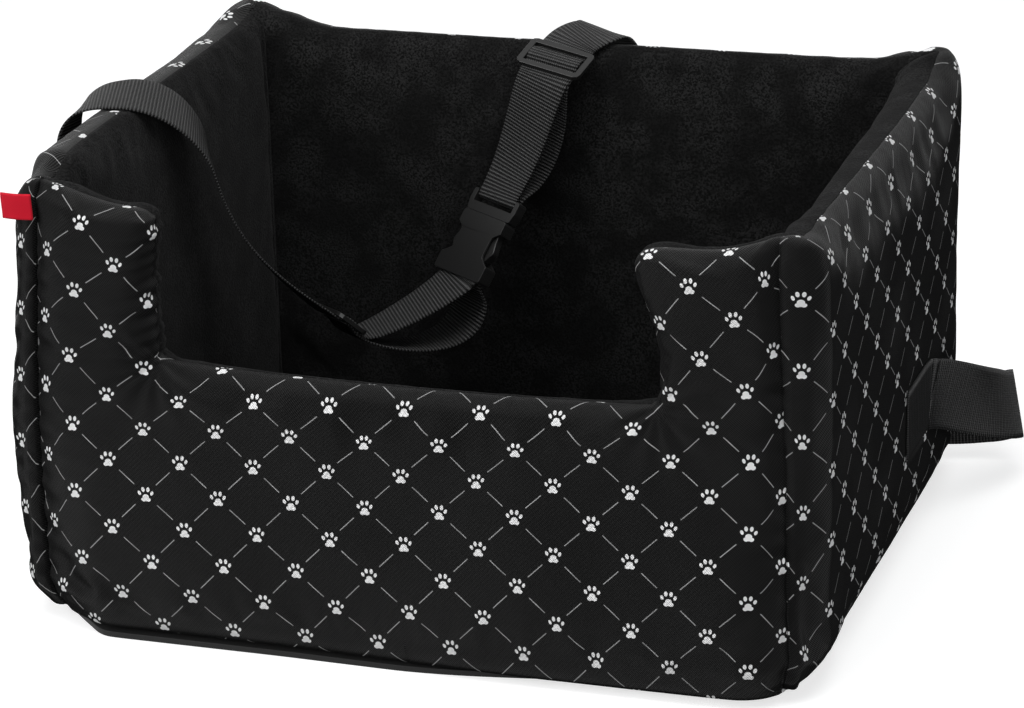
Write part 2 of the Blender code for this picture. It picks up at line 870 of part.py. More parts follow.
def arm_outline(side):
    """The outline of one arm: a springy stem, then a head whose outer side swells through the window."""
    ramp_end = window_top - arm_ramp
    tip = ramp_end - arm_tip_length
    head_outer = arm_outer + clearance + arm_head_bulge
    head_inner = head_outer - arm_head_width
    belly = arm_outer + (head_outer - arm_outer) * arm_belly_share
    root = arm_pivot_y + arm_pivot_radius
    root_corner = arm_pivot_radius * arm_root_share
    soft = arm_width / 2
    corners = [
        (arm_inner, root, root_corner),
        (arm_inner, window_top, arm_width),
        (head_inner, ramp_end, arm_width),
        (head_inner - soft, tip, soft),
        (head_outer - arm_head_width * arm_tip_share, tip, soft),
        (head_outer, ramp_end, arm_width),
        (belly, window_top - arm_ramp / 2, arm_width),
        (arm_outer, window_top, arm_width),
        (arm_outer, root, root_corner),
    ]
    if side < 0:
        corners = [(-x, y, radius) for x, y, radius in corners[::-1]]
    return rounded_outline(corners, 0.0, 1)


def make_arm(name, side, frame):
    """One springy arm of the plug, its origin on the axis it bends about."""
    bm = prism(arm_outline(side), -arm_thickness / 2, arm_thickness / 2)
    pivot = Vector((side * (arm_inner + arm_outer) / 2, arm_pivot_y, 0.0))
    bmesh.ops.translate(bm, verts=bm.verts, vec=-pivot)
    matrix = frame @ Matrix.Translation(pivot)
    body = finished(name, bm, "black_plastic", matrix)
    softened(body, hardware_edge_radius / 2)


def make_socket(frame):
    """The socket of the buckle: a hollow mouth, two side windows, a waist and a bar at its end."""
    half = buckle_thickness / 2
    wide = buckle_half_width
    neck = wide - buckle_rail / 2
    edge = hardware_edge_radius
    corners = [
        (wide, socket_bottom, edge * 2),
        (wide, window_bottom - edge, edge * 2),
        (waist_half, window_bottom + buckle_rail, buckle_rail),
        (waist_half, window_top - buckle_rail, buckle_rail),
        (neck, window_top, edge),
        (neck, socket_top, buckle_rail / 2),
    ]
    outline = rounded_outline(mirrored(corners), 0.0, 1)
    body = finished("socket", prism(outline, -half, half), "black_plastic", frame)
    hollow = half - socket_wall
    middle = (window_top + socket_top) / 2
    mouth = block(socket_mouth_half, middle, socket_top + overrun, -hollow, hollow)
    combine(body, "socket_mouth", mouth, frame)
    throat = block(socket_mouth_half, window_top, middle + edge, -hollow, hollow)
    combine(body, "socket_throat", throat, frame)
    chamber = block(wide + overrun, window_bottom, window_top + clearance, -hollow, hollow)
    combine(body, "socket_chamber", chamber, frame)
    low = socket_bottom - overrun
    high = socket_bar_y + bar_room
    reach = strap_opening_half
    combine(body, "socket_exit", block(reach, low, high, -bar_room, bar_room), frame)
    combine(body, "socket_bar", round_rod(wide - buckle_rail / 2, socket_bar_y), frame, "UNION")
    softened(body, edge / 2)


def make_buckle():
    make_plug(buckle_frame)
    make_arm("plug_right_arm", 1, buckle_frame)
    make_arm("plug_left_arm", -1, buckle_frame)
    make_socket(buckle_frame)


def make_belt_loop(name, side):
    """A wide webbing loop from the side wall round the rear corner to the rear wall."""
    out = half_width + side_crown + clearance + loop_thickness / 2
    back = half_depth + rear_crown + clearance + loop_thickness / 2
    front_end = Vector((out, half_depth - loop_lift - loop_patch, loop_front_height))
    lift_off = Vector((out, half_depth - loop_lift, loop_front_height))
    turn = Vector((half_width + loop_reach, half_depth - loop_turn, loop_middle_height))
    landing = Vector((half_width - loop_rear_start, back, loop_rear_height))
    rear_end = landing - Vector((loop_rear_patch, 0.0, 0.0))
    upright = Vector((0, 0, 1))
    inward = Vector((-1, 0, 0))
    forward = Vector((0, 1, 0))
    going = bent(lift_off, forward, turn, loop_way, loop_front_shares, (upright, loop_lean))
    coming = bent(turn, loop_way, landing, inward, loop_rear_shares, (loop_lean, upright))
    coming.middles.pop(0)
    coming.acrosses.pop(0)
    path = Path([front_end], [upright]) + going + coming + Path([rear_end], [upright])
    flip = Vector((side, 1, 1))
    path = Path([spot * flip for spot in path.middles], [way * flip for way in path.acrosses])
    return make_band(name, path, loop_width, loop_thickness, "belt_webbing")


def make_tag():
    """The folded tag in the seam of the front left corner."""
    left = -half_width - tag_stand_out
    top = wall_height - tag_below_corner
    front = -half_depth - clearance
    outline = [
        (left, front - tag_thickness),
        (left + tag_width, front - tag_thickness),
        (left + tag_width, front),
        (left, front),
    ]
    bm = prism(outline, top - tag_height, top)
    return finished("side_tag", bm, "red_tag", smooth=False)


make_walls()
make_floor()
make_rear_strap()
make_left_strap()
make_slider("rear_slider", rear_slider_frame)
make_slider("left_slider", left_slider_frame)
make_buckle()
make_belt_loop("right_belt_loop", 1)
make_belt_loop("left_belt_loop", -1)
make_tag()
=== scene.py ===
# %% [markdown]
# # A padded seat for a small dog
#
# The seat is an open box of foam walls. A printed cover wraps the outside, plush lines the inside,
# and two webbing straps hang in and meet in a buckle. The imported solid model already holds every
# piece in its place, so this lesson gives each one its cloth, seams, webbing and finish.

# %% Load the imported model
import math

import bmesh
import bpy
import numpy as np
from mathutils import Matrix, Quaternion, Vector
from mathutils.kdtree import KDTree


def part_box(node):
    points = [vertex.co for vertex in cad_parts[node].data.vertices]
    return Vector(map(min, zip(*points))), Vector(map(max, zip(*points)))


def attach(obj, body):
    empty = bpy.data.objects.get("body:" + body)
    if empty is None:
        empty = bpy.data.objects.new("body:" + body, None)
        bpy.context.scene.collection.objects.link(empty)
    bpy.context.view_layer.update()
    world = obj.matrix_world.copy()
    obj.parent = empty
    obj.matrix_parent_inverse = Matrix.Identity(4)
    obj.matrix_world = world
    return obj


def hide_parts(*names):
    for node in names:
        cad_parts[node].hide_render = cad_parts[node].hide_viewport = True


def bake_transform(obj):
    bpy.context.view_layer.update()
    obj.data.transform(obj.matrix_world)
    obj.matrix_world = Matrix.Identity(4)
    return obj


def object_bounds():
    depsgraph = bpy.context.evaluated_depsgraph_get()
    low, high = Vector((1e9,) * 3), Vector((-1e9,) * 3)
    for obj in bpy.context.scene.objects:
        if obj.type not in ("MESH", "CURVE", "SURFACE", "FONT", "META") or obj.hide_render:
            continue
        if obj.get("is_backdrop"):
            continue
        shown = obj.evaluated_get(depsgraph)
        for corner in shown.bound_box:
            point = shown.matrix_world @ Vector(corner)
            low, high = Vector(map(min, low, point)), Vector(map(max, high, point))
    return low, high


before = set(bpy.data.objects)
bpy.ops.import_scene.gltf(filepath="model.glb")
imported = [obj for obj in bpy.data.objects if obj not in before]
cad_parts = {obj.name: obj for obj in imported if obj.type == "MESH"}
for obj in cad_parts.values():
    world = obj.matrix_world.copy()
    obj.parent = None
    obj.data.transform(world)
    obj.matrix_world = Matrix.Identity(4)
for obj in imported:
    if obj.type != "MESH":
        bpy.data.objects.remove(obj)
cad_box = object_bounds()
scene = bpy.context.scene

# %% [markdown]
# ## The camera
#
# The photograph was taken from far away with a long lens, so parallel edges hardly converge. The
# camera's turn, height and small roll were found by matching the box's corners.

# %% Place the camera
LOOK_AT = Vector((0.04049, -0.11511, 0.18058))
CAMERA_DISTANCE = 2.2873
CAMERA_TURN = math.radians(17.758)
CAMERA_HEIGHT = math.radians(20.7711)
CAMERA_ROLL = math.radians(1.5511)

towards_camera = Vector((
    math.sin(CAMERA_TURN) * math.cos(CAMERA_HEIGHT),
    -math.cos(CAMERA_TURN) * math.cos(CAMERA_HEIGHT),
    math.sin(CAMERA_HEIGHT),
))
camera = bpy.data.objects.new("camera", bpy.data.cameras.new("camera"))
camera.data.lens = 126.56
camera.data.sensor_width = 36.0
camera.location = LOOK_AT + towards_camera * CAMERA_DISTANCE
camera.rotation_mode = "QUATERNION"
camera.rotation_quaternion = towards_camera.to_track_quat("Z", "Y") @ Quaternion((0, 0, 1), -CAMERA_ROLL)
scene.collection.objects.link(camera)
scene.camera = camera
print("camera at", [round(c, 3) for c in camera.location])

# %% [markdown]
# ## Floor and light
#
# Black cloth only shows its shape where light grazes it, so large soft lamps stand left, right and
# above. The floor answers the camera with white, and keeps a soft shadow under the box.

# %% Build the floor, the background and the lamps


def node(tree, kind, inputs=(), **settings):
    """Adds a shader node; each input is a number, a colour, another node's output, or None to leave it."""
    made = tree.nodes.new(kind)
    for name, value in settings.items():
        setattr(made, name, value)
    for socket, value in zip(made.inputs, inputs):
        if isinstance(value, bpy.types.NodeSocket):
            tree.links.new(value, socket)
        elif value is not None:
            socket.default_value = value
    return made


def seen_directly(tree):
    """1 where the camera, a mirror or glass looks straight at a surface."""
    path = node(tree, "ShaderNodeLightPath")
    seen = node(tree, "ShaderNodeMath", (path.outputs["Is Camera Ray"], path.outputs["Is Glossy Ray"]),
                operation="MAXIMUM")
    return node(tree, "ShaderNodeMath", (seen.outputs[0], path.outputs["Is Transmission Ray"]),
                operation="MAXIMUM").outputs[0]


floor_bm = bmesh.new()
bmesh.ops.create_grid(floor_bm, x_segments=1, y_segments=1, size=12.0)
floor_mesh = bpy.data.meshes.new("floor")
floor_bm.to_mesh(floor_mesh)
floor_bm.free()
floor = bpy.data.objects.new("floor", floor_mesh)
scene.collection.objects.link(floor)
floor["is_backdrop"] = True

paper = bpy.data.materials.new("pale_floor")
paper.use_nodes = True
tree = paper.node_tree
tree.nodes.clear()
matt = node(tree, "ShaderNodeBsdfDiffuse", ((0.35, 0.35, 0.35, 1.0),))
bright = node(tree, "ShaderNodeBsdfDiffuse", ((0.55, 0.55, 0.55, 1.0),))
glow = node(tree, "ShaderNodeEmission", ((1.0, 1.0, 1.0, 1.0), 0.68))
shown = node(tree, "ShaderNodeAddShader", (bright.outputs[0], glow.outputs[0]))
choice = node(tree, "ShaderNodeMixShader", (seen_directly(tree), matt.outputs[0], shown.outputs[0]))
node(tree, "ShaderNodeOutputMaterial", (choice.outputs[0],))
floor_mesh.materials.append(paper)

world = bpy.data.worlds.new("studio")
world.use_nodes = True
tree = world.node_tree
tree.nodes.clear()
soft = node(tree, "ShaderNodeBackground", ((0.95, 0.97, 1.0, 1.0), 0.30))
white = node(tree, "ShaderNodeBackground", ((1.0, 1.0, 1.0, 1.0), 1.0))
choice = node(tree, "ShaderNodeMixShader", (seen_directly(tree), soft.outputs[0], white.outputs[0]))
node(tree, "ShaderNodeOutputWorld", (choice.outputs[0],))
scene.world = world
scene.view_settings.view_transform = "Standard"

LAMPS = {
    "lamp_above": ((0.10, -0.60, 2.00), (1.8, 1.2), 32.0),
    "lamp_left": ((-1.70, -1.60, 1.30), (1.2, 1.2), 28.0),
    "lamp_right": ((1.15, -1.90, 0.80), (0.6, 1.2), 11.0),
}
for name, (place, size, power) in LAMPS.items():
    lamp = bpy.data.objects.new(name, bpy.data.lights.new(name, "AREA"))
    lamp.data.shape = "RECTANGLE"
    lamp.data.size, lamp.data.size_y = size
    lamp.data.energy = power
    lamp.location = place
    lamp.rotation_mode = "QUATERNION"
    lamp.rotation_quaternion = (Vector(place) - Vector((0, 0, 0.15))).to_track_quat("Z", "Y")
    scene.collection.objects.link(lamp)
print("lamps:", ", ".join(LAMPS))

# %% [markdown]
# ## The printed cloth
#
# The cover is black polyester twill with small grey paw prints. They sit on a half-drop lattice, and
# a thin dash runs along each line between two neighbours. Drawing it from the cloth's own unrolled
# coordinates, in metres, keeps each print its real size and lets it bend over the edges.

# %% Helpers for materials
def calc(tree, operation, *values):
    return node(tree, "ShaderNodeMath", values, operation=operation).outputs[0]


def ramp(tree, value, low, high, to_low=0.0, to_high=1.0):
    """Moves a value smoothly from one level to another."""
    levels = (value, low, high, to_low, to_high)
    return node(tree, "ShaderNodeMapRange", levels, interpolation_type="SMOOTHSTEP").outputs[0]


def mixed(tree, share, first, second):
    """A colour between two colours."""
    made = node(tree, "ShaderNodeMix", data_type="RGBA")
    for socket, value in ((0, share), (6, first), (7, second)):
        if isinstance(value, bpy.types.NodeSocket):
            tree.links.new(value, made.inputs[socket])
        else:
            made.inputs[socket].default_value = value
    return made.outputs[2]


def grey(level):
    return (level, level, level, 1.0)


def new_material(name, roughness, sheen=0.0, sheen_roughness=0.4, specular=0.5):
    """A Principled material: its tree and its shader, ready for a colour and a bump."""
    made = bpy.data.materials.new(name)
    made.use_nodes = True
    shader = made.node_tree.nodes["Principled BSDF"]
    shader.inputs["Roughness"].default_value = roughness
    shader.inputs["Sheen Weight"].default_value = sheen
    shader.inputs["Sheen Roughness"].default_value = sheen_roughness
    shader.inputs["Specular IOR Level"].default_value = specular
    return made, made.node_tree, shader


def bumped(tree, shader, height, distance, strength=1.0):
    """Turns a height into small bumps of the shader's surface."""
    bump = node(tree, "ShaderNodeBump", (strength, distance))
    tree.links.new(height, bump.inputs["Height"])
    tree.links.new(bump.outputs[0], shader.inputs["Normal"])


def object_noise(tree, scale, detail=2.0):
    """Noise fixed to the piece, at a scale in cycles per metre."""
    place = node(tree, "ShaderNodeTexCoord").outputs["Object"]
    return node(tree, "ShaderNodeTexNoise", (place, None, scale, detail)).outputs["Fac"]


def cloth_gloss(tree, upright, level):
    """Woven cloth mirrors the light over it; upright cloth shines a little, unless seen at a low angle."""
    normal = node(tree, "ShaderNodeNewGeometry").outputs["Normal"]
    up = node(tree, "ShaderNodeSeparateXYZ", (normal,)).outputs[2]
    facing = node(tree, "ShaderNodeLayerWeight", (0.5,)).outputs["Facing"]
    from_above = ramp(tree, up, 0.0, 0.95, 0.0, level)
    return calc(tree, "MAXIMUM", from_above, ramp(tree, facing, 0.30, 0.60, upright, 0.0))


# %% The paw-print twill
HALF_ACROSS = 0.0246
HALF_UP = 0.02275
LATTICE_START = (-0.0043, -0.0083)
LATTICE_SLANT = 0.040
DASH_START = 0.30
DASH_HALF_WIDTH = 0.00030
PAW_ELLIPSES = (
    # centre, half axes and tilt; each is drawn on both sides of the paw's middle line
    ((0.0017, 0.0034), (0.00110, 0.00165), 8),
    ((0.0042, 0.0010), (0.00100, 0.00150), 24),
    ((0.0000, -0.0016), (0.00210, 0.00180), 0),
    ((0.0017, -0.0034), (0.00150, 0.00125), -20),
    ((0.0000, -0.0030), (0.00240, 0.00140), 0),
)


def cloth_coordinates(tree):
    """The unrolled place on the cloth, in metres: across and up."""
    parts = node(tree, "ShaderNodeSeparateXYZ", (node(tree, "ShaderNodeUVMap", uv_map="cloth").outputs[0],))
    return parts.outputs[0], parts.outputs[1]


def lattice(tree, across, up):
    """Steps from the nearest paw along the lattice's two slanting directions, from -0.5 to 0.5."""
    slanted = calc(tree, "MULTIPLY_ADD", across, -LATTICE_SLANT, up)
    columns = calc(tree, "DIVIDE", calc(tree, "SUBTRACT", across, LATTICE_START[0]), 2 * HALF_ACROSS)
    rows = calc(tree, "DIVIDE", calc(tree, "SUBTRACT", slanted, LATTICE_START[1]), 2 * HALF_UP)
    steps = []
    for operation in ("ADD", "SUBTRACT"):
        place = calc(tree, operation, columns, rows)
        steps.append(calc(tree, "SUBTRACT", place, calc(tree, "ROUND", place)))
    return steps


def paw_mask(tree, rising, falling):
    """1 inside a paw: a broad pad and four toes, as a union of ellipses."""
    x = calc(tree, "ABSOLUTE", calc(tree, "MULTIPLY", calc(tree, "ADD", rising, falling), HALF_ACROSS))
    y = calc(tree, "MULTIPLY", calc(tree, "SUBTRACT", rising, falling), HALF_UP)
    spot = node(tree, "ShaderNodeCombineXYZ", (x, y)).outputs[0]
    nearest = None
    for centre, half_axes, tilt in PAW_ELLIPSES:
        moved = node(tree, "ShaderNodeVectorMath", (spot, (*centre, 0.0)), operation="SUBTRACT")
        turned = node(tree, "ShaderNodeVectorRotate", (moved.outputs[0],), rotation_type="Z_AXIS")
        turned.inputs["Angle"].default_value = math.radians(tilt)
        scaled = (turned.outputs[0], (*half_axes, 1.0))
        round_one = node(tree, "ShaderNodeVectorMath", scaled, operation="DIVIDE").outputs[0]
        size = node(tree, "ShaderNodeVectorMath", (round_one,), operation="LENGTH").outputs["Value"]
        nearest = size if nearest is None else calc(tree, "MINIMUM", nearest, size)
    return ramp(tree, nearest, 1.08, 0.92)


def dash_mask(tree, rising, falling):
    """1 on the thin dashes between neighbouring paws."""
    one = calc(tree, "ABSOLUTE", rising)
    other = calc(tree, "ABSOLUTE", falling)
    line_gap = 2 * HALF_ACROSS * HALF_UP / math.hypot(HALF_ACROSS, HALF_UP)
    beside = calc(tree, "MULTIPLY", calc(tree, "MINIMUM", one, other), line_gap)
    thin = ramp(tree, beside, DASH_HALF_WIDTH * 1.4, DASH_HALF_WIDTH * 0.6)
    long_enough = ramp(tree, calc(tree, "MAXIMUM", one, other), DASH_START - 0.01, DASH_START + 0.01)
    return calc(tree, "MULTIPLY", thin, long_enough)


def twill_height(tree, across, up, pitch):
    """Fine slanting ribs, as a twill weave has."""
    slant = calc(tree, "ADD", across, up)
    ribs = calc(tree, "SINE", calc(tree, "MULTIPLY", slant, math.tau / pitch))
    other_slant = calc(tree, "SUBTRACT", across, up)
    threads = calc(tree, "SINE", calc(tree, "MULTIPLY", other_slant, 0.5 * math.tau / pitch))
    return calc(tree, "MULTIPLY_ADD", threads, 0.3, ribs)


printed_twill, tree, shader = new_material("printed_twill", 0.46, sheen=0.03)
across, up = cloth_coordinates(tree)
rising, falling = lattice(tree, across, up)
weave = twill_height(tree, across, up, 0.0016)
cloudy = ramp(tree, object_noise(tree, 14.0), 0.3, 0.7)
ground = mixed(tree, cloudy, grey(0.0100), grey(0.0165))
# Painted shade: the twill is painted near black in the grooves of its weave, where the bumps are low.
ground = mixed(tree, ramp(tree, weave, -0.6, 1.0), grey(0.0010), ground)
dashed = mixed(tree, dash_mask(tree, rising, falling), ground, grey(0.38))
printed = mixed(tree, paw_mask(tree, rising, falling), dashed, grey(0.92))
tree.links.new(printed, shader.inputs["Base Color"])
tree.links.new(cloth_gloss(tree, 0.05, 0.12), shader.inputs["Specular IOR Level"])
bumped(tree, shader, weave, 0.00035, 1.0)
print("printed twill: paws every", round(2000 * HALF_ACROSS, 1), "mm across")

# %% [markdown]
# ## Plush, webbing and plastic
#
# Short-pile plush drinks the light and only glows a little at its edges, which is what the sheen
# socket does. Webbing is woven in ribs across its length. Moulded plastic is smooth, with a very fine
# grain left by the mould.

# %% Plush lining
black_plush, tree, shader = new_material("black_plush", 0.95, sheen=0.03, sheen_roughness=0.6, specular=0.02)
pile = object_noise(tree, 700.0, 3.0)
brushed = ramp(tree, object_noise(tree, 45.0, 4.0), 0.35, 0.65)
colour = mixed(tree, brushed, grey(0.0065), grey(0.0165))
tree.links.new(mixed(tree, ramp(tree, pile, 0.35, 0.65), grey(0.0030), colour), shader.inputs["Base Color"])
bumped(tree, shader, pile, 0.0010, 0.8)

# %% Webbing


def webbing_material(name, rib_pitch, level):
    """Ribbed webbing: the ribs run across, and each is built of small slanting threads."""
    made, tree, shader = new_material(name, 0.5, sheen=0.03)
    across, along = cloth_coordinates(tree)
    ribs = calc(tree, "SINE", calc(tree, "MULTIPLY", along, math.tau / rib_pitch))
    threads = calc(tree, "SINE", calc(tree, "MULTIPLY", across, math.tau / 0.0016))
    woven = calc(tree, "MULTIPLY_ADD", threads, 0.5, ribs)
    speckle = ramp(tree, object_noise(tree, 1200.0), 0.35, 0.75)
    crown = mixed(tree, speckle, grey(level), grey(level * 1.5))
    # Painted shade: the grooves between the ribs are painted near black, where the bumps are low.
    shade = mixed(tree, ramp(tree, woven, -0.9, 1.2), grey(level * 0.05), crown)
    tree.links.new(shade, shader.inputs["Base Color"])
    bumped(tree, shader, woven, 0.0005, 1.0)
    tree.links.new(cloth_gloss(tree, 0.08, 0.12), shader.inputs["Specular IOR Level"])
    return made


strap_webbing = webbing_material("strap_webbing", 0.0024, 0.060)
belt_webbing = webbing_material("belt_webbing", 0.0022, 0.050)

# %% Plastic, board, base cloth, foam and tag


def grained(name, roughness, noise, greys, bump, **look):
    """A grey material whose fine noise (its scale and detail) varies the colour and makes the bumps."""
    made, tree, shader = new_material(name, roughness, **look)
    grain = object_noise(tree, *noise)
    tree.links.new(mixed(tree, grain, grey(greys[0]), grey(greys[1])), shader.inputs["Base Color"])
    bumped(tree, shader, grain, *bump)
    return made


black_plastic = grained("black_plastic", 0.30, (2500.0,), (0.0080, 0.0120), (0.00005, 0.5), specular=0.32)
grey_board = grained("grey_board", 0.7, (300.0, 4.0), (0.08, 0.13), (0.0002, 0.4))
base_cloth = grained("base_cloth", 0.55, (700.0, 3.0), (0.010, 0.017), (0.0002, 0.5),
                     sheen=0.05, specular=0.2)
grey_foam = grained("grey_foam", 0.9, (800.0,), (0.22, 0.34), (0.0005, 0.6))

red_ribbon, tree, shader = new_material("red_ribbon", 0.6, sheen=0.03, specular=0.1)
waves = []
for direction in cloth_coordinates(tree):
    waves.append(calc(tree, "SINE", calc(tree, "MULTIPLY", direction, math.tau / 0.0008)))
weave = calc(tree, "MULTIPLY", *waves)
# Painted shade: the weave's low spots are painted a darker red, where the bumps are low.
reds = mixed(tree, ramp(tree, weave, -1, 1), (0.42, 0.006, 0.018, 1), (0.62, 0.010, 0.028, 1))
tree.links.new(reds, shader.inputs["Base Color"])
bumped(tree, shader, weave, 0.0001, 0.5)
print("materials:", len(bpy.data.materials))

# %% [markdown]
# ## The shell of padded walls
#
# The four foam walls, the posts and the low front lip carry one soft skin. It starts as plain
# bevelled blocks that overlap. A voxel remesh turns them into one even mesh, which is smoothed and
# shaped to the box's real outline. It is cut into the sewn panels only afterwards, so their seams fit.

# %% Sizes of the shell
HALF_X = 0.260
HALF_Y = 0.200
TOP = 0.300
WALL = 0.0303
FOOT = 0.0046
ENTRY_LEFT = -0.1695
ENTRY_RIGHT = 0.157
LIP = 0.1855
LIP_SAG = 0.004
LEFT_EAR = 0.004
RIGHT_EAR = 0.015
RIM_X = {-1: 0.2385, 1: 0.2485}
RIM_Y = 0.1850
UPRIGHT_X = {-1: 0.2435, 1: 0.2370}
EDGE = 0.0125
CELL = 0.0045

INNER_X = HALF_X - WALL
INNER_Y = HALF_Y - WALL
BLOCKS = {
    "left wall": ((-HALF_X, -HALF_Y, FOOT), (-INNER_X, HALF_Y, TOP)),
    "right wall": ((INNER_X, -HALF_Y, FOOT), (HALF_X, HALF_Y, TOP)),
    "rear wall": ((-HALF_X, INNER_Y, FOOT), (HALF_X, HALF_Y, TOP)),
    "front lip": ((-HALF_X, -HALF_Y, FOOT), (HALF_X, -INNER_Y, LIP)),
    "left post": ((-HALF_X, -HALF_Y, FOOT), (ENTRY_LEFT, -INNER_Y, TOP)),
    "right post": ((ENTRY_RIGHT, -HALF_Y, FOOT), (HALF_X, -INNER_Y, TOP)),
}

# %% Blocks to one even skin


def add_block(bm, low, high, radius, steps=4):
    """A box with rounded edges."""
    low, high = Vector(low), Vector(high)
    size = high - low
    place = Matrix.Translation((low + high) / 2) @ Matrix.Diagonal((*size, 1.0))
    verts = bmesh.ops.create_cube(bm, size=1.0, matrix=place)["verts"]
    edges = list({edge for vert in verts for edge in vert.link_edges})
    bmesh.ops.bevel(bm, geom=edges, offset=radius, offset_type="OFFSET", segments=steps, profile=0.5,
                    affect="EDGES", clamp_overlap=True, material=-1)


def linked(name, bm, material=None):
    """A bmesh as an object in the scene, smoothly shaded if it has a material."""
    mesh = bpy.data.meshes.new(name)
    bm.to_mesh(mesh)
    bm.free()
    if material is not None:
        mesh.materials.append(material)
        mesh.shade_smooth()
    made = bpy.data.objects.new(name, mesh)
    scene.collection.objects.link(made)
    return made


def thickened(obj, thickness, offset=0.0):
    """Gives a thin sheet its thickness; an offset of -1 lays all of it behind the faces."""
    solid = obj.modifiers.new("thickness", "SOLIDIFY")
    solid.thickness = thickness
    solid.offset = offset


def subdivided(obj):
    """Adds one smooth subdivision."""
    smoother = obj.modifiers.new("smooth", "SUBSURF")
    smoother.levels = smoother.render_levels = 1
    return smoother


def applied(obj):
    """Turns the object's live modifiers into its mesh."""
    mesh = bpy.data.meshes.new_from_object(obj.evaluated_get(bpy.context.evaluated_depsgraph_get()))
    obj.modifiers.clear()
    old = obj.data
    obj.data = mesh
    bpy.data.meshes.remove(old)
    return obj


def evened(obj, cell):
    """Remeshes an object to even square cells."""
    remesh = obj.modifiers.new("even cells", "REMESH")
    remesh.mode = "VOXEL"
    remesh.voxel_size = cell
    return applied(obj)


def relaxed(obj, rounds, factor=0.5):
    """Smooths the steps that the cells leave."""
    bm = bmesh.new()
    bm.from_mesh(obj.data)
    for _ in range(rounds):
        bmesh.ops.smooth_vert(bm, verts=bm.verts, factor=factor, use_axis_x=True, use_axis_y=True,
                              use_axis_z=True)
    bm.to_mesh(obj.data)
    bm.free()
    return obj


shell_bm = bmesh.new()
for low, high in BLOCKS.values():
    add_block(shell_bm, low, high, EDGE)
shell = relaxed(evened(linked("shell", shell_bm), CELL), 2)
print("shell:", len(shell.data.vertices), "points")

# %% [markdown]
# ## Shape of the walls
#
# Real walls aren't straight. The corners rise to small ears, the lip sags, the posts slope towards
# the entry, and the bottom corners are drawn in by the cover. These are smooth moves of every point,
# written as functions of where the point is.

# %% Move the points to the real outline


def vectors(items, field="vector"):
    """A mesh's points, normals or stored vectors as rows of x, y and z."""
    flat = np.empty(len(items) * 3)
    items.foreach_get(field, flat)
    return flat.reshape(-1, 3)


def points_of(mesh):
    return vectors(mesh.vertices, "co")


def set_points(mesh, points):
    mesh.vertices.foreach_set("co", np.ascontiguousarray(points, dtype=np.float32).ravel())
    mesh.update()


def smooth_step(value, low, high):
    share = np.clip((value - low) / (high - low), 0.0, 1.0)
    return share * share * (3 - 2 * share)


def rim_rise(x, y):
    """How far the top of the walls stands above the plain height, at each place round the box."""
    front = smooth_step(-y, 0.150, 0.178)
    posts = 0.010 * smooth_step(np.abs(x), 0.185, 0.245) - 0.0125
    left_wall = 0.007 * smooth_step(-x, 0.18, 0.22)
    beside = np.hypot(np.abs(x) - 0.250, np.abs(y) - 0.190)
    ears = np.where(y > 0, 0.010, 0.004) * np.exp(-(beside / 0.026) ** 2)
    return posts * front + left_wall * (1 - front) + 0.0015 * (1 - front) + ears


def lip_height(x):
    middle = (ENTRY_LEFT + ENTRY_RIGHT) / 2
    reach = (ENTRY_RIGHT - ENTRY_LEFT) / 2
    return LIP - LIP_SAG * np.clip(1 - ((x - middle) / reach) ** 2, 0, 1)


def post_ear(x, z):
    """How far a post's inner edge leans over the entry, at each height."""
    return np.where(x < 0, LEFT_EAR * smooth_step(z, 0.240, 0.280), RIGHT_EAR * smooth_step(z, 0.213, 0.280))


def shaped(points):
    """The plain shell with its real upper outline."""
    x, y, z = points.T.copy()
    rise = rim_rise(x, y) * smooth_step(z, LIP, TOP)
    sag = (LIP - lip_height(x)) * np.clip(z / LIP, 0, 1) * smooth_step(-y, 0.14, 0.165)
    z_new = z + rise - sag
    beside = np.where(x < 0, ENTRY_LEFT - x, x - ENTRY_RIGHT)
    near_entry = smooth_step(-y, 0.16, 0.18) * (1 - smooth_step(beside, 0, 0.048))
    return np.stack([x - np.sign(x) * post_ear(x, z_new) * near_entry, y, z_new], axis=1)


def bulged(points):
    """The outer faces swell: the front at its foot, the left wall low down, the right wall all over."""
    x, y, z = points.T.copy()
    outer_y = smooth_step(-y, 0.165, 0.197)
    outer_x = smooth_step(np.abs(x), 0.222, 0.252)
    belly = 0.0215 + 0.0030 * smooth_step(x, -0.1, 0.1)
    belly = belly * (1 - smooth_step(z, 0.010, 0.175)) * (1 - smooth_step(np.abs(x), 0.208, 0.262))
    left = 0.0140 * (1 - smooth_step(z, 0.12, 0.34)) * (0.82 + 0.18 * smooth_step(z, 0.02, 0.12))
    left = left * (1 - 0.6 * smooth_step(y, -0.15, 0.2))
    right = -0.0015 + 0.0090 * smooth_step(y, -0.2, 0.15)
    lean = (0.0080 - 0.0115 * z / TOP) * smooth_step(x, 0.19, 0.235) * outer_y
    lean = lean * (1 - smooth_step(x, 0.243, 0.256))
    top_roll = 0.008 * smooth_step(z, 0.23, 0.285) * smooth_step(y, -0.19, -0.12)
    top_roll = top_roll * (1 - smooth_step(y, 0.15, 0.195))
    x_new = x + outer_x * np.where(x < 0, -left - top_roll, right) + lean
    y_new = y - outer_y * belly
    foot = 1 - smooth_step(z, FOOT, 0.032)
    near_corner = np.hypot(np.clip(np.abs(x) - 0.195, 0, 1), np.clip(np.abs(y) - 0.145, 0, 1))
    corner = smooth_step(near_corner, 0.035, 0.078) * foot
    outside = np.maximum(smooth_step(np.abs(x), INNER_X, HALF_X), smooth_step(np.abs(y), INNER_Y, HALF_Y))
    x_new = x_new - np.sign(x) * corner * outside * 0.007
    y_new = y_new - np.sign(y) * corner * outside * 0.004
    side_foot = foot**2 * smooth_step(np.abs(x), INNER_X, HALF_X) * 0.003
    hang = 0.003 * smooth_step(x, -0.10, 0.10) * outer_y * foot * (1 - corner)
    return np.stack([x_new - np.sign(x) * side_foot, y_new, z + 0.001 * corner * outside - hang], axis=1)


